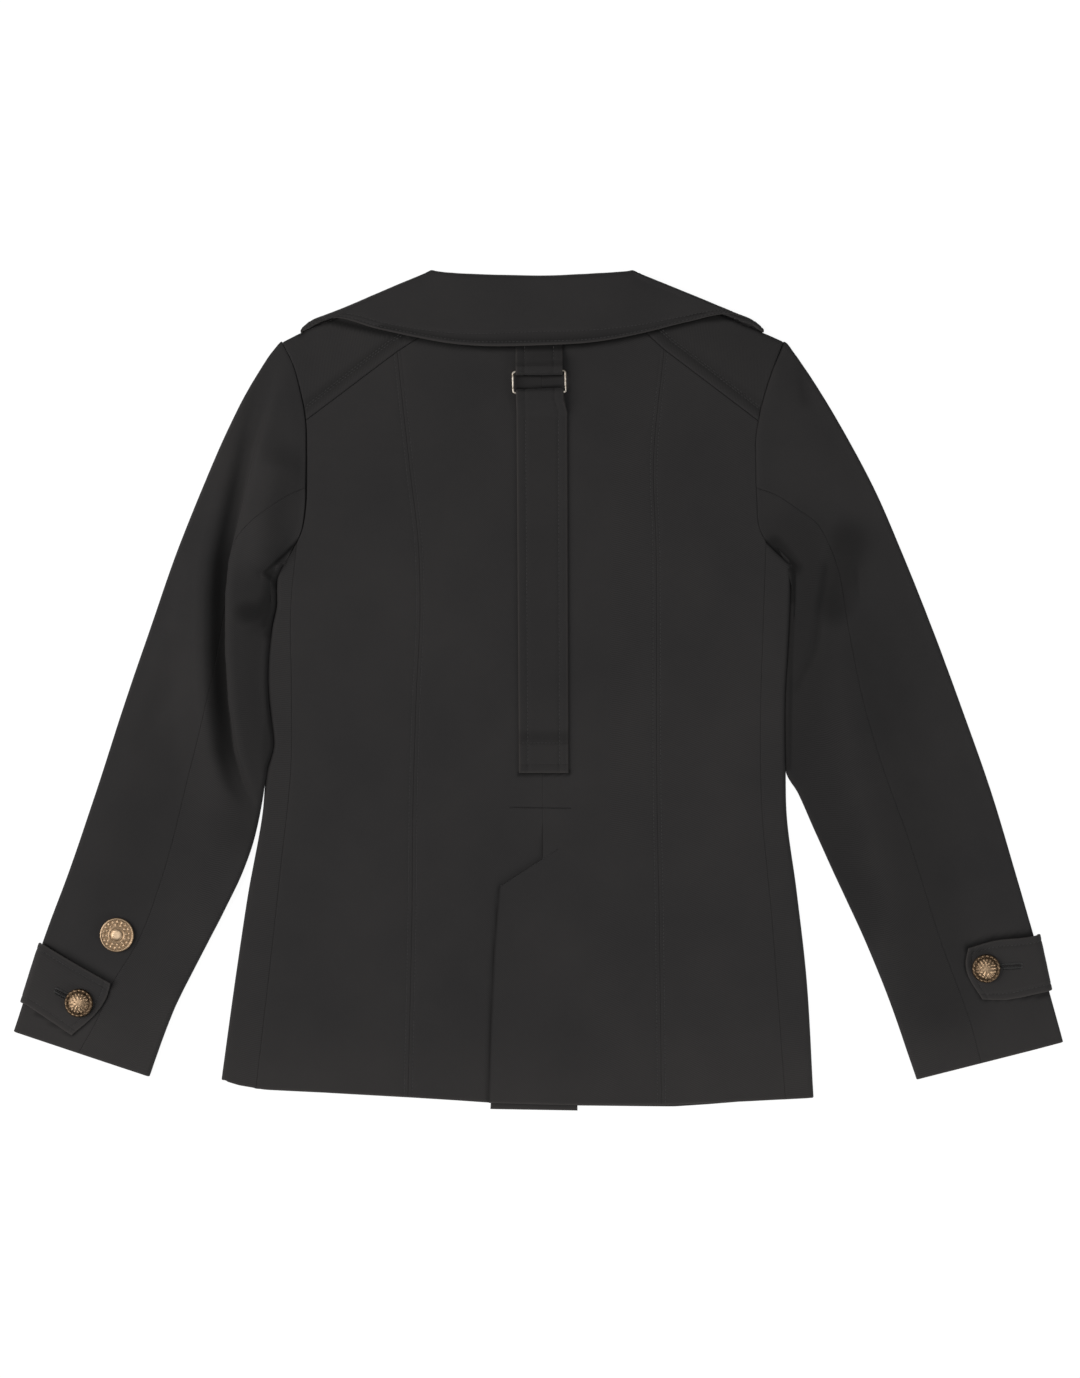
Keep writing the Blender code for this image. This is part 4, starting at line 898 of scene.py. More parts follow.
for side, shape in SHAPE.items():
    axis = shoulder_axis(shape)
    seam = straight(*shape["yoke_seam"])
    armhole, front_hole = (
        stretch(smooth_line(shape[hole]), shape[hole][0][1], shape[edge][-1][1])
        for hole, edge in (("armhole", "yoke_seam"), ("front_armhole", "front_yoke_seam")))
    front_seam = straight(shape["front_yoke_seam"][0], front_hole[-1])
    upper = raised(patch(axis, seam, straight(axis[0], seam[0]), armhole, 30, 40), BACK_LAYER)
    lower = raised(patch(axis, front_seam, straight(axis[0], front_seam[0]), front_hole, 16, 40),
                   under_layer)
    way = left_of(upper[0, :, :2]) * np.sign(axis[-1][0])
    shape["shoulder_way"] = way[-1]
    columns = [np.vstack([upper[::-1, c], fold_round(upper[0, c, :2], way[c], BACK_LAYER,
                                                     lower[0, c, 2]), lower[:, c]])
               for c in range(upper.shape[1])]
    # Painted shade under the collar's edge, along the topstitching and broadly along the shoulder.
    shade = beside(painted_shade_under_collar, (shape["under_topstitch"], 0.3, 4.5),
                   (shape["shoulder"], shape["shoulder_shade"], SHOULDER_SHADE_REACH))
    yoke = panel("yoke_panel_" + side, "yoke_" + side, np.array(columns).transpose(1, 0, 2),
                 {"top": YOKE_TOPSTITCH}, pitch=3.2, dip=YOKE_DIP, puff=lapped, painted_shade=shade)
    sew("yoke_stitches_" + side, [stitch_line(yoke, "top", row) for row in YOKE_TOPSTITCH])

# ================================================================ collar
# A deep storm collar of two layers of suiting with canvas between. Its fall lies over the
# back and shoulders, topstitched twice along the edge; it rolls over at the neck into a
# stand, and its ends curl round the shoulders to the fronts.

COLLAR_THICKNESS = 2.0
COLLAR_MIDDLE = 5.0           # height of the line that the collar wraps round
FALL_REACH = 4.0              # of its outer layer above and below that line
ROLL_LIFT = 6.5               # the roll at the back of the neck
ROLL_FADE = (60, 100)         # how far from the middle it starts to come down, and how slowly
OVER_STRAP = 5.9              # reach of the fall's edge where it crosses the strap
STRAP_FADE = (42, 30)
STAND_REACH = {"back": 1.35, "front": 1.75}
SEAM_ROOM = 0.3               # between the stand and the neck seam
TIP_NARROW = 0.8              # how much narrower the collar's end is, over what share of it
TIP_SHARE = 0.25
BOW_SHARE = 0.12              # where along the end its outline bows out most
FRONT_SHIFT = (0.6, 0.4)
COLLAR_TOPSTITCH = (3.6, 11.2)
FURROW = [(x, y + 4.1) for x, y in COLLAR_EDGE[5:15]]      # the outer row of topstitching
SHAPE["left"].update({
    "roll": [(2, 331.0), (-34, 331.6), (-58, 332.8), (-74, 334.0), (-81, 334.7),
             (-85.5, 335.0), (-88.0, 335.0)],
    "fall_edge": [(2, 275.3), (-38.8, 274.5), (-70, 276.8), (-97.2, 281.6), (-130, 288.8),
                  (-165, 297.4), (-190.6, 287.0)],
    "tip_bow": (3.8, 1.2),
    "front_roll": [(-86.5, 330.0), (-81, 312), (-74, 293), (-66, 272)],
    "front_fall_edge": [(-189.4, 287.0), (-186, 262), (-170, 230), (-152, 200)],
})
SHAPE["right"].update({
    "roll": [(2, 331.0), (30, 332.2), (50, 333.4), (63, 334.3), (70, 334.8), (74.5, 335.0),
             (77.0, 335.0)],
    "fall_edge": [(2, 275.3), (36, 277.0), (62, 280.8), (88, 286.4), (119, 294.2),
                  (155, 300.2), (179.4, 287.0)],
    "tip_bow": (3.4, 2.0),
    "front_roll": [(77.5, 330.0), (76, 312), (72, 293), (66, 272)],
    "front_fall_edge": [(178.2, 287.0), (175, 262), (162, 230), (150, 200)],
})


def collar_section(edge, roll, neck, normal, edge_reach, roll_reach, stand_reach, bent=None):
    """One section of the collar: its fall, the roll, and the stand down to the neck seam.

    bent gives, for a share of the way from the edge to the roll, how far the fall is moved
    and how much of its reach it has there.
    """
    edge, roll, neck = (np.array(p, dtype=float) for p in (edge, roll, neck))
    along = unit(roll - edge)
    radius = 0.5 * (roll_reach - stand_reach)
    turn = roll - along * (radius + 0.5 * COLLAR_THICKNESS)

    def layer(place, reach):
        return np.array([*place, COLLAR_MIDDLE]) + normal * reach

    points = []
    for s in np.linspace(0, 1, 36):
        moved, grown = bent(s) if bent else (0, 1)
        points.append(layer((1 - s) * edge + s * turn + moved,
                            grown * (edge_reach + (roll_reach - edge_reach) * s)))
    for angle in np.linspace(0, math.pi, 10)[1:-1]:
        points.append(layer(turn + along * radius * math.sin(angle),
                            0.5 * (roll_reach + stand_reach) + radius * math.cos(angle)))
    for s in np.linspace(0, 1, 8):
        points.append(layer((1 - s) * turn + s * neck, stand_reach))
    return points


def collar_half(shape):
    """The sections of one half, from the middle of the back round the shoulder to the front."""
    seam = shares_of(smooth_line(shape["neck"]), np.linspace(0, 1, 4))
    end = shares_of(straight(shape["yoke_seam"][0], shoulder_axis(shape)[0]),
                    np.linspace(0, 1, 4))
    neck = np.vstack([seam, end[1:]])
    neck[:, 1] += SEAM_ROOM
    up = np.array([0, 0, 1.0])
    tip, corner = (np.array(shape[line][-1], dtype=float) for line in ("fall_edge", "roll"))
    along = unit(corner - tip)
    outward = np.array([-along[1], along[0]]) * np.sign(along[0])
    sections = []
    for edge, roll, seam_point in zip(shape["fall_edge"][:-1], shape["roll"], neck):
        away = abs(edge[0] - 2)
        edge_reach = OVER_STRAP + (FALL_REACH - OVER_STRAP) * ease(
            (away - STRAP_FADE[0]) / STRAP_FADE[1])
        roll_reach = ROLL_LIFT + (FALL_REACH + 0.3 - ROLL_LIFT) * ease(
            (away - ROLL_FADE[0]) / ROLL_FADE[1])
        sections.append(collar_section(edge, roll, seam_point, up, edge_reach, roll_reach,
                                       STAND_REACH["back"]))
    wrap = FALL_REACH + 0.5 * COLLAR_THICKNESS
    short_bow, long_bow = shape["tip_bow"]

    def pointed(s):
        """The end narrows to a tip, and its outline bows out beside it."""
        narrow = TIP_NARROW * (1 - float(ease(s / TIP_SHARE)))
        bow = short_bow * (s / BOW_SHARE) * math.exp(1 - s / BOW_SHARE)
        bow += long_bow * math.sin(math.pi * s)
        return outward * (wrap * narrow + bow), 1 - narrow

    neck_axis = neck[-1] + along * SEAM_ROOM
    for share in np.linspace(0, 1, 7):
        angle = math.pi * share
        normal = np.array([*(outward * math.sin(angle)), math.cos(angle)])
        stand = (1 - share) * STAND_REACH["back"] + share * STAND_REACH["front"]
        sections.append(collar_section(tip - outward * wrap, corner - outward * wrap, neck_axis,
                                       normal, FALL_REACH, FALL_REACH, stand, pointed))
    front_end = np.array(shape["front_yoke_seam"][0], dtype=float)
    last = np.array(shape["gorge"]) + (front_end - neck_axis) * 0.1
    necks = [0.75 * neck_axis + 0.25 * front_end, 0.5 * (neck_axis + front_end), front_end, last]
    for edge, roll, seam_point in zip(shape["front_fall_edge"], shape["front_roll"], necks):
        shift = np.array([-FRONT_SHIFT[0] * np.sign(edge[0]), FRONT_SHIFT[1]])
        sections.append(collar_section(edge, roll, seam_point + shift, -up, FALL_REACH,
                                       FALL_REACH, STAND_REACH["front"]))
    return sections


def blended(sections, steps):
    """Smooth steps between the sections."""
    knots = np.array(sections)
    place = run_length(knots.mean(axis=1))
    slope = np.empty_like(knots)
    slope[1:-1] = (knots[2:] - knots[:-2]) / (place[2:] - place[:-2])[:, None, None]
    slope[0] = (knots[1] - knots[0]) / place[1]
    slope[-1] = (knots[-1] - knots[-2]) / (place[-1] - place[-2])
    rows = []
    for i, span in enumerate(np.diff(place)):
        for s in np.linspace(0, 1, steps, endpoint=False):
            rows.append(curve_point(s, span, knots[i:i + 2], slope[i:i + 2]))
    rows.append(knots[-1])
    return np.array(rows)


sections = collar_half(SHAPE["left"])[::-1] + collar_half(SHAPE["right"])[1:]
grid = blended(sections, 8).transpose(1, 0, 2)[::-1]
# Painted shade along the outer row of topstitching.
collar = panel("storm_collar", "collar", grid, {"bottom": COLLAR_TOPSTITCH}, COLLAR_THICKNESS,
               pitch=3.2, free=("bottom",), painted_shade=beside((FURROW, 0.55, 1.3)))
sew("collar_stitches", [stitch_line(collar, "bottom", row) for row in COLLAR_TOPSTITCH])

# ================================================================ sleeves
# Two-piece sleeves of suiting, set in with a little fullness at the cap. Each lies flat with
# its outer and inner folds pressed. The back seam shows from the armhole to the cuff. The
# left sleeve was laid down with a deep lengthwise fold that stands over a valley, dark from
# its depth and from painted shade.

SLEEVE_PRESS = 0.6            # how far the sleeves are pressed against the body
BODY_TOUCH_Y = 90             # they touch it below this height
SLEEVE_SEAM_TOP_Y = 162.0
ARMHOLE_DIP = {"left": 0.1, "right": 0.42}
CAP_FULLNESS = {"left": 0.4, "right": 0.9}
FULLNESS_REACH = 5.0
SLOPE_DEPTH = 1.7             # how far a sleeve's upper layer comes down at its outer fold
SLOPE_WIDTH = 15.0
SEAM_FLAT = 10.0              # how far from the armhole seam the folds reach their full height
SHAPE["left"].update({
    "armpit": [(-204.9, 102.6), (-207.8, 100.4), (-209.7, 95)],
    "sleeve_outer": [(-206.5, 277.5), (-212.4, 271.6), (-223.6, 255.6), (-233.2, 239.6),
                     (-249.2, 207.6), (-270, 159.6), (-289.2, 111.6), (-311.6, 47.6),
                     (-333.6, -16.4), (-354.2, -80.4), (-375.9, -144.4), (-394.0, -192.4),
                     (-420.2, -272.8)],
    "sleeve_inner": [(-223.2, -100), (-230.4, -128.4), (-236.4, -144.4), (-251.6, -176.4),
                     (-275.8, -223.2), (-291.6, -255.2), (-311.4, -309.0)],
    "sleeve_seam": [(-186.8, 162), (-199.6, 155.6), (-211.6, 146), (-222, 137), (-232, 126),
                    (-242, 108), (-252, 70), (-260, 20), (-270, -30), (-278.8, -64.4),
                    (-302, -152.4), (-318, -195.6), (-325.2, -209.2), (-339.6, -232.4),
                    (-354.8, -266.8), (-367.4, -289.2)],
})
SHAPE["right"].update({
    "armpit": [(201.1, 102.6), (204.0, 100.4), (205.9, 95)],
    "sleeve_outer": [(196.5, 277.5), (202, 271.6), (214, 255.6), (224.4, 239.6),
                     (243.6, 207.6), (269.2, 159.6), (290, 111.6), (315.6, 47.6),
                     (339.2, -16.4), (361.6, -80.4), (380.9, -144.4), (395.6, -194.8),
                     (419.5, -281.2)],
    "sleeve_inner": [(206, -80.4), (220.4, -112.4), (234.8, -144.4), (257.2, -192.4),
                     (277.2, -240.4), (302.0, -311.4)],
    "sleeve_seam": [(173.4, 162), (190, 156), (208, 144), (221.2, 134.6), (232, 116),
                    (237.2, 103.6), (247, 52), (257.2, -0.4), (275, -62), (293.2, -112.4),
                    (321.2, -200.4), (346.8, -272.4), (353.4, -298.4)],
})
# The deep fold, from the cap down: the line of its ridge, how high it stands and how strong
# the painted shade in its valley is there. Its section runs from the sleeve's outer side to its
# inner side: place on the flat cloth, place when folded, height.
RIDGE_X = [-207.6, -217, -227.6, -241, -247.2, -249.6, -250, -247.6, -242.8, -235.6, -222]
RIDGE_Y = [266.8, 231.6, 191.6, 130.8, 103, 76, 33.2, -9.2, -48.4, -74, -100]
RIDGE_HEIGHT = [0, 2.4, 4.6, 7.4, 9, 9.5, 9, 8.5, 6, 3.5, 0]
RIDGE_SHADE = [0, 0, 0, 0.25, 0.78, 0.94, 1, 1, 0.9, 0.5, 0.2]
FOLD_SECTION = [(-75, -75, 0), (-56, -56, 0.5), (-46, -46, 2.0), (-37, -37, 4.2),
                (-28, -28, 5.7), (-22, -22, 6.4), (-17.6, -17.5, 5.4), (-14.2, -13.9, 2.8),
                (-11.2, -10.6, -0.6), (-8, -7.0, -3.0),
                (-4.7, -3.2, -3.9), (-2.4, -0.6, -3.9), (-0.6, 1.1, -2.8), (0.9, 1.6, -0.8),
                (2.5, 1.1, 1.6), (4.2, 0.1, 3.6), (6.0, 0.0, 5.4), (7.8, 1.1, 6.6),
                (10.6, 3.8, 7.0), (17, 10.8, 5.6), (27, 23.0, 3.2), (38, 36.2, 1.2), (50, 50, 0)]
FOLD_HALF = 70
# Painted shade in the deep fold's valley and along the creases:
VALLEY_SHADE = 0.86           # strength of the shade in the valley
VALLEY_START = ([-60, 50], [23.4, 18.6])         # by y, how far beside the ridge it starts
VALLEY_FADE = 12.0
RIDGE_ROOM = (0.2, 1.2)       # how near the ridge it ends, and over what distance
CREASE_SHADE = (0.24, 1.1)    # of a crease: for each mm of its depth, and over its own width


def on_ridge(values, y):
    """A value of the ridge at these heights, 0 beyond its ends."""
    return np.interp(y, RIDGE_Y[::-1], values[::-1], left=0, right=0)


def fold_offset(x, y):
    """How far the deep fold moves the cloth: sideways, and up."""
    share = on_ridge(RIDGE_HEIGHT, y) / max(RIDGE_HEIGHT)
    flat, folded, height = smooth_line(FOLD_SECTION, 0.5).T
    place = x - on_ridge(RIDGE_X, y)
    aside = (np.interp(place, flat, folded) - place) * (np.abs(place) < FOLD_HALF)
    return share * aside, share * np.interp(place, flat, height)


# Painted shadow where the cuff tabs lie on the sleeves: the line of each edge, how dark and how
# wide.
TAB_CONTACT = {
    "left": [([(-402, -203), (-378, -213.6), (-342, -234)], 0.85, 4.2),
             ([(-342, -234), (-345.2, -245.2), (-352.4, -256.4), (-373.2, -275.6),
               (-402, -257)], 0.55, 1.8)],
    "right": [([(400, -196.6), (362.8, -200.1), (342.8, -206)], 0.85, 4.0),
              ([(342.8, -206), (340.6, -218.8), (341.7, -225.2), (354, -246.8),
                (415, -243)], 0.65, 2.0)],
}
# Painted shade on the sleeves: along the body's edge, under the arms, in slack stretches.
SHADE = {
    "left": [([(-208, 92), (-214, 40), (-214, -20), (-217, -62)], 0.5, 7.0),
             ([(-212, 84), (-220, 40), (-219, -40), (-232, -110)], 0.26, 26.0),
             ([(-211, 88), (-214, 72), (-222, 63), (-233, 62)], 0.66, 10.0),
             ([(-212, 82), (-210.4, 68), (-215, 44)], 0.72, 6.5),
             ([(-192.6, 119), (-205.4, 107), (-219, 94)], 0.95, 2.2),
             ([(-218, 93.5), (-212.5, 88), (-210.5, 82)], 0.95, 3.4),
             ([(-213, 94), (-209.5, 90)], 0.7, 4.5),
             ([(-300, -56), (-334, -150)], 0.15, 34.0)],
    "right": [([(202, 101), (199.5, 33), (197.5, -20), (198, -62)], 0.45, 6.5),
              ([(206, 104), (203, 33), (202, -70), (240, -170)], 0.3, 42.0),
              ([(188.5, 117), (197, 107.5), (204.5, 98)], 0.72, 8.0),
              ([(192, 111.5), (198.5, 106), (205, 99.6)], 0.95, 3.0),
              ([(181.6, 118.6), (190, 110.5), (200, 101)], 0.97, 2.4),
              ([(203, 100), (203.4, 86), (203, 70)], 0.88, 2.8),
              ([(203.6, 99), (203, 70), (201, 33), (199.5, -62)], 0.62, 3.0),
              ([(246, 118), (240, 90), (233, 66)], 0.5, 18.0),
              ([(262, 30), (288, -60), (306, -160), (318, -250)], 0.24, 34.0)],
}
# Creases: points along each, its depth (a swell where it is negative) and its half width.
CREASES = {
    "left": [
        ([(-208, 176), (-216, 140), (-217, 110)], -7.6, 14.5),
        ([(-206.6, 85), (-209, 70), (-216, 55)], 3.0, 8.5),
        ([(-197, 115), (-205.4, 107), (-219, 94)], 1.7, 2.2),
        ([(-292, 40), (-301, 4), (-318, -40)], 0.5, 9.0),
    ],
    "right": [
        ([(230.8, 99.6), (228.4, 82.8), (225.2, 61.2), (221.2, 33.2), (213.2, 16.4),
          (207, 4.4)], 1.7, 4.2),
        ([(237, 99), (236, 74)], 1.7, 9.5),
        ([(254.8, 95.6), (255.4, 78.8)], 0.6, 2.6),
        ([(190, 114), (203.4, 99.6)], 1.4, 4.0),
        ([(209.2, 267.6), (213.2, 231.6)], 0.6, 4.5),
        ([(262, 30), (276, -18), (300, -70)], 0.5, 8.0),
    ],
}
# Creases of the hidden under layer, which lift it off the surface.
UNDER_CREASES = {
    "left": [([(-236, 150), (-262, 96), (-279, 20)], 1.1, 8.0),
             ([(-246, 20), (-272, -64), (-284, -118)], 0.8, 5.5),
             ([(-330, -130), (-341, -176)], 0.7, 4.5)],
    "right": [([(222, 170), (248, 104), (264, 52)], 1.0, 7.0),
              ([(262, 6), (288, -58), (302, -128)], 0.9, 6.0),
              ([(318, -30), (334, -92)], 0.6, 4.0)],
}
SLEEVE_ROWS = 170
UNDER_SPLIT = 26              # the under layer's column where the two pieces are joined


for side, shape in SHAPE.items():
    sign = np.sign(shape["sleeve_outer"][-1][0])
    out_x = np.array([sign, 0.0])
    armpit = np.array(shape["body_edge"][0]) - out_x * FOLD_RADIUS
    under_arm = smooth_line([shape["armhole"][-1], armpit])[1:]
    armhole, front_hole = (np.vstack([smooth_line(shape[hole]), under_arm])
                           for hole in ("armhole", "front_armhole"))
    along_body = smooth_line(shape["body_edge"], 4) + out_x * (FOLD_RADIUS - SLEEVE_PRESS)
    along_body = along_body[(along_body[:, 1] < BODY_TOUCH_Y)
                            & (along_body[:, 1] > shape["apart_below"])]
    free = moved_in(smooth_line(shape["sleeve_inner"], 12), -sign * FOLD_RADIUS)
    inner = smooth_line(np.vstack([armhole[-1:], shape["armpit"], along_body, free[::2]]))
    outer = moved_in(smooth_line(shape["sleeve_outer"]), sign * FOLD_RADIUS)
    outer = np.vstack([armhole[:1], outer[3:]])
    seam = smooth_line(shape["sleeve_seam"])
    cuff = straight(outer[-1], inner[-1])
    width = cuff[1] - cuff[0]
    seam[-1] = cuff[0] + float((seam[-1] - cuff[0]) @ unit(width) / np.linalg.norm(width)) * width
    top_part = patch(stretch(armhole, armhole[0][1], SLEEVE_SEAM_TOP_Y),
                     straight(cuff[0], seam[-1]), outer, seam, SLEEVE_ROWS, 40, 3)
    inner_part = patch(stretch(armhole, SLEEVE_SEAM_TOP_Y, armhole[-1][1]),
                       straight(seam[-1], cuff[1]), seam, inner, SLEEVE_ROWS, 26, 3)
    under = raised(patch(front_hole, cuff, outer, inner, SLEEVE_ROWS, 40, 5), under_layer)
    for line, rise, width in UNDER_CREASES[side]:
        under[..., 2] += rise * fades(distance_to(line, under[..., 0], under[..., 1]), width)

    def full_cap(from_side):
        """The cap swells a little beside the armhole seam."""
        near = from_side["top"] / FULLNESS_REACH
        return CAP_FULLNESS[side] * near * np.exp(1 - near)

    def shaded(x, y):
        """Painted shade: darker in the deep fold and the underarm creases, and where the tab lies
        on it.
        """
        creases = [(line, CREASE_SHADE[0] * depth, CREASE_SHADE[1] * width)
                   for line, depth, width in CREASES[side]]
        dark = beside(*creases, *TAB_CONTACT[side], *SHADE[side])(x, y)
        if side == "left":
            place = x - on_ridge(RIDGE_X, y)
            valley = ease((place + np.interp(y, *VALLEY_START)) / VALLEY_FADE) * ease(
                (-RIDGE_ROOM[0] - place) / RIDGE_ROOM[1])
            dark = np.maximum(dark, VALLEY_SHADE * on_ridge(RIDGE_SHADE, y) * valley)
        return dark

    def creased(grid):
        """The upper layer of the sleeve, sloping to its outer edge, with its folds and creases."""
        x, y = grid[..., 0], grid[..., 1]
        height = BACK_LAYER - SLOPE_DEPTH * fades(distance_to(outer[::8], x, y), SLOPE_WIDTH)
        flat_at_seam = ease(distance_to(armhole[::4], x, y) / SEAM_FLAT)
        for line, depth, width in CREASES[side]:
            height -= (flat_at_seam if depth < 0 else 1) * depth * fades(
                distance_to(line, x, y), width)
        if side == "left":
            aside, rise = fold_offset(x, y)
            x, height = x + flat_at_seam * aside, height + flat_at_seam * rise
        return np.dstack([x, y, height])

    top_part, inner_part = creased(top_part), creased(inner_part)
    outer_way = sign * left_of(under[:, 0, :2])
    inner_way = -sign * left_of(under[:, -1, :2])
    inner_way[0] = unit(armhole[-1] - armhole[-2])
    outer_way[0] = shape["shoulder_way"]
    body = np.vstack([[shape["armhole"][-1], armpit], smooth_line(shape["body_edge"])])
    room = distance_to(body, under[:, -1, 0], under[:, -1, 1]) - 0.5 * CLOTH + SLEEVE_PRESS
    full_reach = FOLD_RADIUS - 0.5 * CLOTH
    reach = np.clip(room, 1.4, full_reach)
    top_rows, under_rows = [], []
    for r in range(SLEEVE_ROWS):
        outer_fold = fold_round(top_part[r, 0, :2], outer_way[r], top_part[r, 0, 2],
                                under[r, 0, 2], reach=full_reach)
        inner_fold = fold_round(under[r, -1, :2], inner_way[r], inner_part[r, -1, 2],
                                under[r, -1, 2], reach=reach[r])
        top_rows.append(np.vstack([top_part[r, ::-1], outer_fold, under[r, :UNDER_SPLIT]]))
        under_rows.append(np.vstack([inner_part[r], inner_fold,
                                     under[r, :UNDER_SPLIT - 2:-1]]))
    sleeve_look = {"pitch": (2.4, 3.4), "dip": {"top": ARMHOLE_DIP[side]}, "free": ("bottom",),
                   "painted_shade": shaded}
    for name, rows, puff in (("topsleeve", top_rows, full_cap),
                             ("undersleeve", under_rows, None)):
        sleeve = panel(name + "_panel_" + side, name + "_" + side, np.array(rows), puff=puff,
                       **sleeve_look)

# ================================================================ strap
# A stitched strap of doubled suiting down the middle of the back, in two lengths. Each loops
# round one bar of the buckle and runs back under itself. The lower one ends in a square end,
# sewn down through all layers.

STRAP_THICKNESS = 2.0
STRAP_LAYER = BACK_LAYER + 0.5 * CLOTH + 0.25 + 0.5 * STRAP_THICKNESS
STRAP_TOP_Y = 296.5
STRAP_END_Y = -66.0
STRAP_UPPER_EDGES = {"y": [240, 300], "left": [-18.7, -18.7], "right": [18.9, 18.9]}
STRAP_LOWER_EDGES = {"y": [-66, 222, 232], "left": [-16.0, -18.0, -18.4],
                     "right": [23.6, 22.6, 19.6]}
STRAP_TOPSTITCH = 7.2         # in from its edges
UPPER_END_SEAM = 38.0         # down the upper length
LOWER_BAR_ROW = 24.0          # up the lower length
BUCKLE_CENTRE = (0.25, 246.15)
BUCKLE_SIZE = (43.9, 18.9)
BUCKLE_WIRE = 1.9
BUCKLE_CORNER = 2.0
BUCKLE_TILT = math.radians(1.4)
BAR_REACH = 0.5 * (BUCKLE_SIZE[1] - BUCKLE_WIRE)
LOOP_RADIUS = 0.5 * BUCKLE_WIRE + 0.25 + 0.5 * STRAP_THICKNESS
BUCKLE_HEIGHT = STRAP_LAYER + LOOP_RADIUS
LOOP_TAIL = 11.4              # how far the end runs back under the strap
SLANT_REACH = 30              # how far from the bar the strap follows the buckle's tilt
# How a strap climbs to its bar: distances from the bar, with heights over the strap's own layer
# and then over the top of its loop.
CLIMB_FOOT = [(18.4, 0.0), (13.5, 1.7)]
CLIMB_TOP = [(8.1, -0.45), (3.5, 0.0), (0.0, 0.0)]
# Shade is painted on the strap: a little all over, and most by the collar, over the upper
# length's end seam and over the bar of stitches at its lower end.
STRAP_SHADE = (([(0, 270), (3, -60)], 0.07, 60.0), ([(-19, 273.4), (19, 273.4)], 0.95, 2.6),
               ([(-19, 260.2), (19, 260.6)], 0.5, 1.9), ([(-17, -37.5), (23, -37.5)], 0.34, 6.0))


def strap_length(name, node, far_end, bar_y, edges, stitched, free):
    """One length of the strap, from its far end to the bar, round it and back under."""
    way = 1 if bar_y > far_end else -1
    rise = [(bar_y - way * back, STRAP_LAYER + up) for back, up in CLIMB_FOOT]
    rise += [(bar_y - way * back, BUCKLE_HEIGHT + LOOP_RADIUS + up) for back, up in CLIMB_TOP]
    run = [(y, STRAP_LAYER)
           for y in np.arange(far_end, bar_y - way * (CLIMB_FOOT[0][0] + 1), way * 3.0)]
    run += [tuple(point) for point in smooth_line(rise, 1.0)]
    run += [(bar_y + way * LOOP_RADIUS * math.sin(angle),
             BUCKLE_HEIGHT + LOOP_RADIUS * math.cos(angle))
            for angle in np.linspace(0, math.pi, 15)[1:]]
    run.append((bar_y - way * LOOP_TAIL, STRAP_LAYER))
    rows = []
    for y, z in run:
        x = np.linspace(np.interp(y, edges["y"], edges["left"]),
                        np.interp(y, edges["y"], edges["right"]), 20)
        slant = math.tan(BUCKLE_TILT) * ease(1 - abs(y - bar_y) / SLANT_REACH)
        rows.append(np.stack([x, y + slant * (x - BUCKLE_CENTRE[0]), np.full(20, z)], axis=1))
    return panel(name, node, np.array(rows), stitched, STRAP_THICKNESS, pitch=(2.6, 1.3),
                 free=free, painted_shade=beside(painted_shade_under_collar, *STRAP_SHADE))


sides = {"left": (STRAP_TOPSTITCH,), "right": (STRAP_TOPSTITCH,)}
upper_strap = strap_length("strap_above_buckle", "strap_upper", STRAP_TOP_Y,
                           BUCKLE_CENTRE[1] + BAR_REACH, STRAP_UPPER_EDGES,
                           {**sides, "top": (UPPER_END_SEAM,)}, ("left", "right"))
lower_strap = strap_length("strap_below_buckle", "strap_lower", STRAP_END_Y,
                           BUCKLE_CENTRE[1] - BAR_REACH, STRAP_LOWER_EDGES,
                           {**sides, "top": (STRAP_TOPSTITCH, LOWER_BAR_ROW)},
                           ("left", "right", "top"))
sew("strap_stitches_above", [stitch_line(upper_strap, edge, STRAP_TOPSTITCH, 0.0, 0.56)
                             for edge in sides])
sew("strap_stitches_below", [stitch_line(lower_strap, edge, STRAP_TOPSTITCH, 0.02, 0.88)
                             for edge in sides]
    + [stitch_line(lower_strap, "top", LOWER_BAR_ROW, 0.05, 0.95)])

# ================================================================ buckle
# A rectangular frame bent from round wire, plated in a pale, slightly worn gold. The strap
# hides its two long bars, and its short sides show.

PLATING_GRAIN = 380           # scale of its wear
METAL_DENT = 0.0001
POLISH_WANDER = 0.55          # how far the wear shifts a polished tone


def worn_metal(name, grain, dark, light, gloss, dents, polish_and_highlight=None):
    """Metal whose tone and gloss wander with its wear, and follow an attribute, if named, of
    rubbed wear that on the buttons also carries a painted highlight.

    grain is the scale of the wear. dark and light are each a place on the ramp and a colour.
    gloss is the roughness where it is dark and where it is bright, dents the strength of them.
    """
    metal, shader = new_finish(name, {"Metallic": 1.0})
    place = add_node(metal, "TexCoord", {})
    wear = add_node(metal, "TexNoise", {"Vector": place.outputs["Object"], "Scale": grain,
                                        "Detail": 4})
    amount = wear.outputs["Fac"]
    if polish_and_highlight:
        rubbed_and_highlit = add_node(metal, "Attribute", {}, attribute_name=polish_and_highlight)
        amount = add_node(metal, "Math", {0: amount, 1: POLISH_WANDER, 2: rubbed_and_highlit.outputs["Fac"]},
                          operation="MULTIPLY_ADD").outputs["Value"]
    sheen = add_node(metal, "MapRange", {"Value": amount, "To Min": gloss[0],
                                         "To Max": gloss[1]})
    bumps = add_node(metal, "Bump", {"Height": wear.outputs["Fac"], "Strength": dents,
                                     "Distance": METAL_DENT})
    set_inputs(shader, {"Base Color": tone_ramp(metal, amount, dark, light),
                        "Roughness": sheen.outputs["Result"],
                        "Normal": bumps.outputs["Normal"]})
    return metal


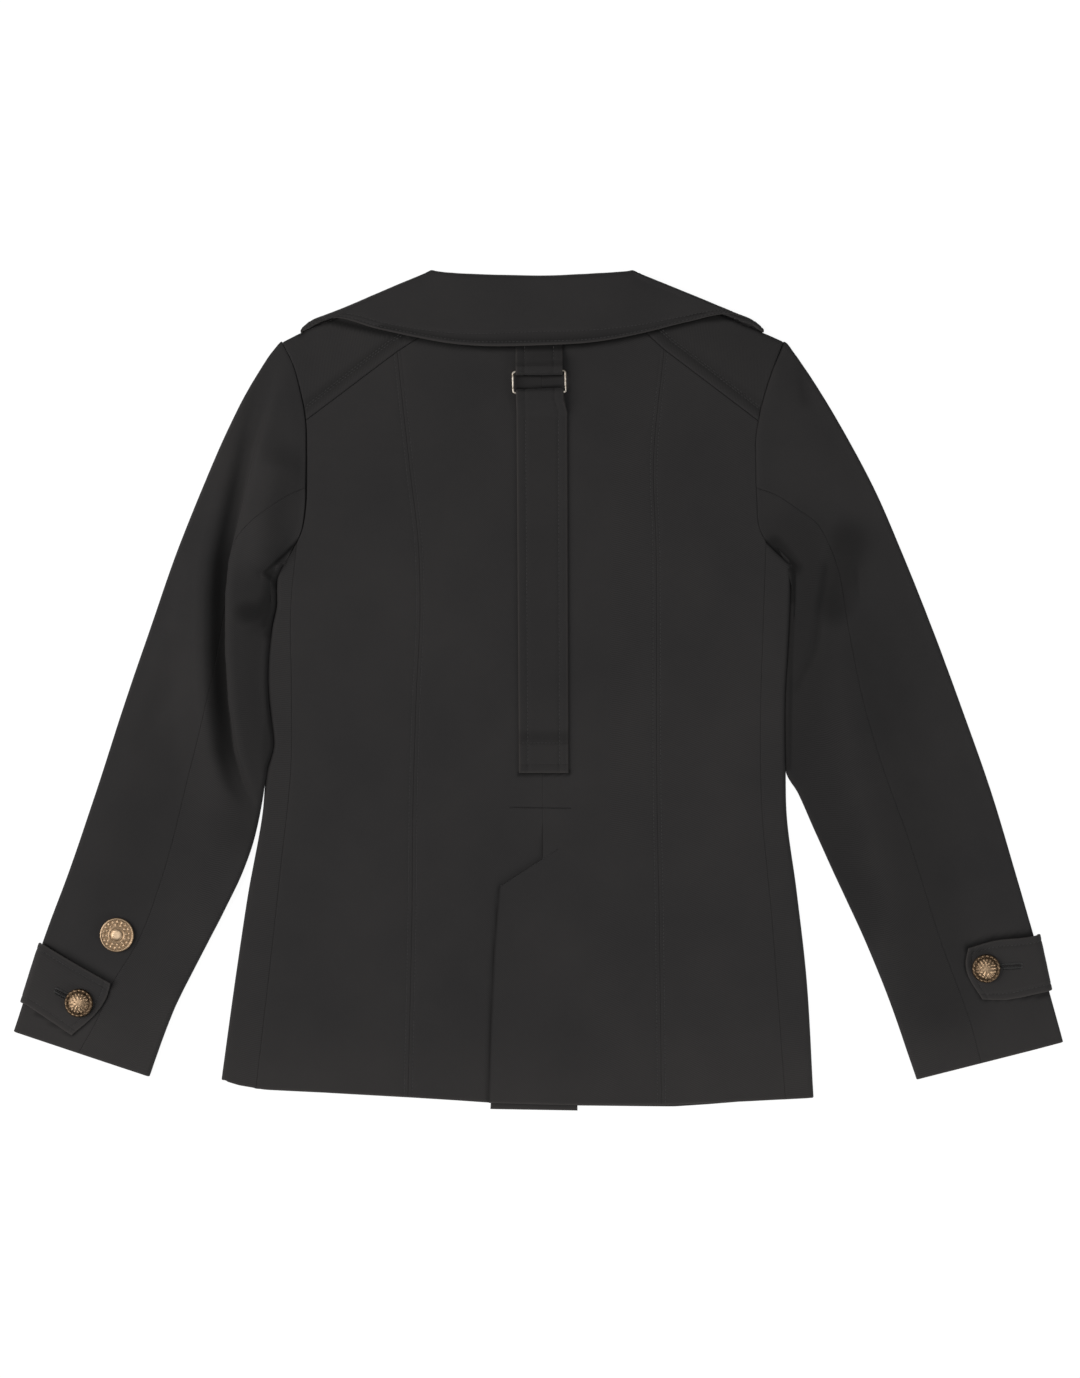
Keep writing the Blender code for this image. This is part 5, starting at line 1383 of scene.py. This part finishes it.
bpy.ops.object.select_all(action="DESELECT")
frame_middle = (np.array([*BUCKLE_CENTRE, BUCKLE_HEIGHT]) + [*TO_MIDDLE, 0]) * MM
bpy.ops.mesh.primitive_plane_add(size=1, location=frame_middle)
buckle = bpy.context.object
buckle.name = "wire_buckle"
buckle.scale = ((BUCKLE_SIZE[0] - BUCKLE_WIRE) * MM, (BUCKLE_SIZE[1] - BUCKLE_WIRE) * MM, 1)
buckle.rotation_euler = (0, 0, BUCKLE_TILT)
bpy.ops.object.transform_apply(location=False, rotation=False, scale=True)
bpy.ops.object.mode_set(mode="EDIT")
bpy.ops.mesh.select_all(action="SELECT")
bpy.ops.mesh.delete(type="ONLY_FACE")
bpy.ops.mesh.select_all(action="SELECT")
bpy.ops.mesh.bevel(offset=BUCKLE_CORNER * MM, offset_type="OFFSET", segments=7,
                   affect="VERTICES")
bpy.ops.object.mode_set(mode="OBJECT")
bpy.ops.object.convert(target="CURVE")
buckle.data.bevel_depth = 0.5 * BUCKLE_WIRE * MM
buckle.data.bevel_resolution = 5
bpy.ops.object.convert(target="MESH")
bpy.ops.object.transform_apply(location=True, rotation=True, scale=True)
bpy.ops.object.mode_set(mode="EDIT")
bpy.ops.mesh.select_all(action="SELECT")
bpy.ops.mesh.remove_doubles(threshold=0.02 * MM)
bpy.ops.mesh.normals_make_consistent(inside=False)
bpy.ops.object.mode_set(mode="OBJECT")
bpy.ops.object.shade_smooth()
buckle.data.materials.clear()
buckle.data.materials.append(worn_metal(
    "pale_gold_plating", PLATING_GRAIN, (0.32, (0.22, 0.19, 0.155)), (0.60, (0.46, 0.42, 0.37)),
    (0.52, 0.36), 0.15))
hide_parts("buckle")
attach(buckle, "root")

# ================================================================ cuff tabs
# A pointed tab of doubled suiting crosses the back of each cuff. It is caught in the sleeve's
# front seam underneath, wraps the outer fold and buttons down.

TAB_LAYER = BACK_LAYER + CLOTH + 0.25
TAB_WRAP = math.radians(120)  # how far round the sleeve's outer fold it goes
TAB_TOPSTITCH = 5.4
TAB_ROWS = (("right", 0.12, 0.88), ("top", 0.1, 0.92), ("bottom", 0.1, 0.92))
HOLE_STITCH = 0.62            # from one stitch of a buttonhole to the next
HOLE_SLIT = 0.35              # from the middle of its slit to the stitches on either side
HOLE_REACH = 2.5              # length of those stitches
HOLE_BAR = (-0.9, -0.4)       # the two stitches of its bar, beyond its end, and half their width
HOLE_BAR_HALF = 2.6
SHADOW_CORD_WAYS = (0.3, 2.9)        # a black cord as painted shadow: up in the slit, and along the lower edge
SHAPE["left"].update({
    "tab_fold": (-203.6, -251.0),
    "tab_slack": (0.8, 0.5),
    "tab_top": [(-378, -213.6), (-342, -234)],
    "tab_end": [(-342, -234), (-345.2, -245.2), (-352.4, -256.4), (-373.2, -275.6)],
    "tab_bottom": [(-400.4, -257.2), (-373.2, -275.6)],
    "buttonhole": [(-385.6, -239.2), (-374.6, -245.0)],
})
SHAPE["right"].update({
    "tab_fold": (-197.0, -241.0),
    "tab_slack": (3.3, 0.6),
    "tab_top": [(393.2, -196.6), (362.8, -200.1), (342.8, -206)],
    "tab_end": [(342.8, -206), (340.6, -218.8), (341.7, -225.2), (354, -246.8)],
    "tab_bottom": [(369.8, -247.3), (354, -246.8)],
    "buttonhole": [(385.0, -219.4), (366.5, -220.6)],
})


def buttonhole(name, ends, height):
    """A worked buttonhole: stitches on both sides of the slit, a bar, and a black cord laid in the
    slit and along its lower edge as painted shadow.
    """
    start, end = (np.array([*point, 0]) + [*TO_MIDDLE, height] for point in ends)
    along = unit(end - start)
    side = np.array([-along[1], along[0], 0])
    up = np.array([0, 0, 1.0])

    def row(first, last):
        return np.array([[*first, *up], [*last, *up]])

    lines = []
    for place in np.arange(0, np.linalg.norm(end - start), HOLE_STITCH):
        for way in (1, -1):
            foot = start + along * place + way * side * HOLE_SLIT
            lines.append(row(foot, foot + way * side * HOLE_REACH))
    for place in HOLE_BAR:
        foot = start + along * place - side * HOLE_BAR_HALF
        lines.append(row(foot, foot + side * 2 * HOLE_BAR_HALF))
    sew(name, lines, stitch=2.0, gap=0.25, radius=0.3)
    lower = side if side[1] < 0 else -side
    sew(name + "_shadow_cord", [row(start + distance * way, end + distance * way)
                         for distance, way in zip(SHADOW_CORD_WAYS, (up, lower))],
        stitch=1.6, gap=0.05, radius=0.42, yarn=BLACK_TWIST)


for side, shape in SHAPE.items():
    sign = np.sign(shape["sleeve_outer"][-1][0])
    outer = moved_in(smooth_line(shape["sleeve_outer"]), sign * FOLD_RADIUS)
    heights = np.linspace(*shape["tab_fold"], 40)
    order = np.argsort(outer[:, 1])
    down_sleeve = outer[order, 1]
    axis = np.stack([np.interp(heights, down_sleeve, outer[order, 0]), heights], axis=1)
    outward = points_at((sign * left_of(outer))[order], down_sleeve, heights)
    axis += outward * np.linspace(*shape["tab_slack"], 40)[:, None]
    grid = patch(smooth_line(np.vstack([axis[:1], shape["tab_top"]])),
                 smooth_line(np.vstack([axis[-1:], shape["tab_bottom"]])),
                 axis, smooth_line(shape["tab_end"]), 40, 40)
    middle = 0.5 * (BACK_LAYER + FLOOR_LAYER)
    radius = TAB_LAYER - middle
    rows = []
    for r in range(len(axis)):
        wrap = [(*(axis[r] + outward[r] * radius * math.sin(angle)),
                 middle + radius * math.cos(angle))
                for angle in np.linspace(TAB_WRAP, 0, 16)[:-1]]
        rows.append(np.vstack([wrap, raised(grid[r][None], TAB_LAYER)[0]]))
    tab = panel("cuff_tab_of_cloth_" + side, "cuff_tab_" + side, np.array(rows),
                {edge: (TAB_TOPSTITCH,) for edge, start, end in TAB_ROWS}, pitch=2.2,
                free=("left", "right", "top", "bottom"))
    sew("tab_stitches_" + side, [stitch_line(tab, edge, TAB_TOPSTITCH, start, end)
                                 for edge, start, end in TAB_ROWS])
    buttonhole("buttonhole_" + side, shape["buttonhole"], TAB_LAYER + 0.5 * CLOTH + 0.1)

# ================================================================ buttons
# Cast brass buttons, antiqued brown in the hollows and rubbed bright on their studs; their
# highest rings are painted brighter, partly rubbed wear and partly a painted highlight. A small
# domed one holds each tab, and a larger flat one sits above the left tab. Their relief is plain:
# rings, rows of small studs and a ridged rim.

BRASS_GRAIN = 700
BRASS_GLOSS = (0.62, 0.30)
BRASS_DENTS = 0.3
dark_brass = worn_metal("dark_antique_brass", BRASS_GRAIN, (0.22, (0.016, 0.009, 0.005)),
                        (0.95, (0.48, 0.335, 0.21)), BRASS_GLOSS, BRASS_DENTS, "polish_and_highlight")
pale_brass = worn_metal("pale_antique_brass", BRASS_GRAIN, (0.22, (0.13, 0.078, 0.040)),
                        (0.95, (0.68, 0.51, 0.345)), BRASS_GLOSS, BRASS_DENTS, "polish_and_highlight")
BUTTON_SEGMENTS = 36
FACING = 0.9                  # how straight up or down a flat face points
BACK_INSETS = (0.12, 0.3)     # by what shares of the radius the back is inset
STUD_HEIGHT = 0.16            # what stands this far over the rings is rubbed bright
STUD_SHINE = 0.42
CREST_WEAR_AND_HIGHLIGHT = 0.45            # of the rings that stand highest: partly rubbed wear, partly a painted highlight


def pick_faces(piece, test):
    """Selects, in edit mode, the faces whose middle passes a test."""
    cage = bmesh.from_edit_mesh(piece.data)
    for face in cage.faces:
        face.select_set(bool(test(face.calc_center_median(), face.normal)))
    bmesh.update_edit_mesh(piece.data)


def cast_button(name, node, rim_share, steps, studs, finish):
    """A round button over its CAD node: a disc whose top is inset step by step, then studded.

    steps are (in, up) in mm from the edge to the middle. studs are (from, to, every, in, up):
    a band of faces by its radii, how many to pass over, and the stud's taper and height.
    """
    low, high = (np.array(corner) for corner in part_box(node))
    middle, height = 0.5 * (low + high), high[2] - low[2]
    radius = 0.5 * (high[0] - low[0])
    bpy.ops.object.select_all(action="DESELECT")
    bpy.ops.mesh.primitive_cylinder_add(
        vertices=BUTTON_SEGMENTS, radius=radius, depth=rim_share * height,
        location=(middle[0], middle[1], low[2] + 0.5 * rim_share * height))
    button = bpy.context.object
    button.name = name
    bpy.ops.object.mode_set(mode="EDIT")
    bpy.ops.mesh.select_mode(type="FACE")
    pick_faces(button, lambda centre, normal: normal.z < -FACING)
    for share in BACK_INSETS:
        bpy.ops.mesh.inset(thickness=share * radius, depth=0.0)
    pick_faces(button, lambda centre, normal: normal.z > FACING)
    for inward, upward in steps:
        bpy.ops.mesh.inset(thickness=inward * MM, depth=upward * MM)
    bpy.ops.mesh.poke()
    for start, end, every, inward, upward in studs:
        turn = 2 * math.pi / BUTTON_SEGMENTS

        def chosen(centre, normal):
            place = math.hypot(centre.x, centre.y) / MM
            number = int(round((math.atan2(centre.y, centre.x) / turn) - 0.5))
            return start < place < end and normal.z > 0.2 and number % every == 0

        pick_faces(button, chosen)
        bpy.ops.mesh.inset(thickness=inward * MM, depth=upward * MM, use_individual=True)
    bpy.ops.object.mode_set(mode="OBJECT")
    rings = np.cumsum([(radius / MM, 0.5 * rim_share * height / MM)]
                      + [(-inward, upward) for inward, upward in steps], axis=0)
    rounder = button.modifiers.new("rounded_edges", "SUBSURF")
    rounder.levels = rounder.render_levels = 2
    bpy.ops.object.modifier_apply(modifier=rounder.name)
    bpy.ops.object.shade_smooth()
    points = np.array([vertex.co[:] for vertex in button.data.vertices]) / MM
    away = np.hypot(points[:, 0], points[:, 1])
    ground = np.interp(away, rings[::-1, 0], rings[::-1, 1])
    # Studs are rubbed bright; the highest rings are painted brighter, partly wear and partly a
    # painted highlight.
    stands = np.clip((points[:, 2] - ground) / STUD_HEIGHT, 0, 1)
    crest = np.clip((ground - rings[:, 1].min()) / np.ptp(rings[:, 1]), 0, 1) ** 2
    worn_and_highlit = STUD_SHINE * stands * (0.45 + 0.55 * crest) + CREST_WEAR_AND_HIGHLIGHT * crest
    store(button, "polish_and_highlight", np.clip(worn_and_highlit, 0, 1))
    bpy.ops.object.transform_apply(location=True, rotation=True, scale=True)
    button.data.materials.append(finish)
    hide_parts(node)
    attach(button, "root")


DOME_STEPS = [(0.25, 0.45), (0.35, 0.35), (1.5, 0.05), (0.35, -0.35), (0.3, 0.0), (0.3, 0.45),
              (2.0, 1.0), (2.0, 0.75), (1.8, 0.40), (1.4, 0.16)]
DOME_STUDS = [(9.4, 10.6, 2, 0.22, 0.42), (6.0, 8.2, 2, 0.26, 0.55), (4.2, 6.0, 3, 0.2, 0.5),
              (2.0, 3.8, 4, 0.12, 0.35)]
COIN_STEPS = [(0.3, 0.5), (0.4, 0.3), (0.7, 0.05), (0.35, -0.55), (0.4, -0.1), (2.3, 0.1),
              (0.3, 0.0), (2.2, 0.0), (0.35, 0.36), (0.5, 0.02), (0.35, -0.36), (1.0, 0.0),
              (0.4, 0.4), (0.9, 0.25), (0.9, 0.12)]
COIN_STUDS = [(9.6, 11.4, 2, 0.2, 0.42), (6.8, 8.8, 3, 0.2, 0.42)]
FRONT_STEPS = [(0.3, 0.15), (0.3, 0.1), (0.9, 0.02), (0.35, -0.15), (0.4, 0.0), (0.4, 0.2),
               (1.6, 0.08), (2.0, 0.05), (2.2, 0.03)]
FRONT_STUDS = [(9.0, 10.6, 2, 0.10, 0.06)]
for side in SHAPE:
    cast_button("domed_button_" + side, "cuff_button_" + side, 0.42, DOME_STEPS, DOME_STUDS,
                dark_brass)
cast_button("coin_button_left", "sleeve_button_left", 0.62, COIN_STEPS, COIN_STUDS, pale_brass)
for number in (1, 2, 3):
    cast_button("front_closing_button_%d" % number, "front_button_%d" % number, 0.7,
                FRONT_STEPS, FRONT_STUDS, dark_brass)

# ================================================================ bar and vent stitching
# A bar of close stitches holds the layers under the strap's end. A slanting row closes the
# top of the vent.

LYING = BACK_LAYER + 0.5 * CLOTH + 0.1
LAP_EDGE_RISE = 1.4           # the vent's row lies on its lap


def row_across(points, height):
    """A row of stitches over flat cloth, through these points."""
    line = smooth_line(points)
    rise = height + gentle(line[:, 0], line[:, 1], np.full(len(line), 8.0))
    up = np.tile([0, 0, 1.0], (len(line), 1))
    return np.column_stack([line + TO_MIDDLE, rise, up])


sew("strap_end_bar", [row_across([(-24.4, -93.6), (25.6, -94.4)], LYING)], 1.6, 0.05, 0.42,
    BLACK_TWIST)
sew("vent_top_stitches",
    [row_across([(15.6, -126.8), (-31.0, -156.6)], LYING + LAP_EDGE_RISE)], 2.4, 0.1, 0.55,
    BLACK_TWIST)
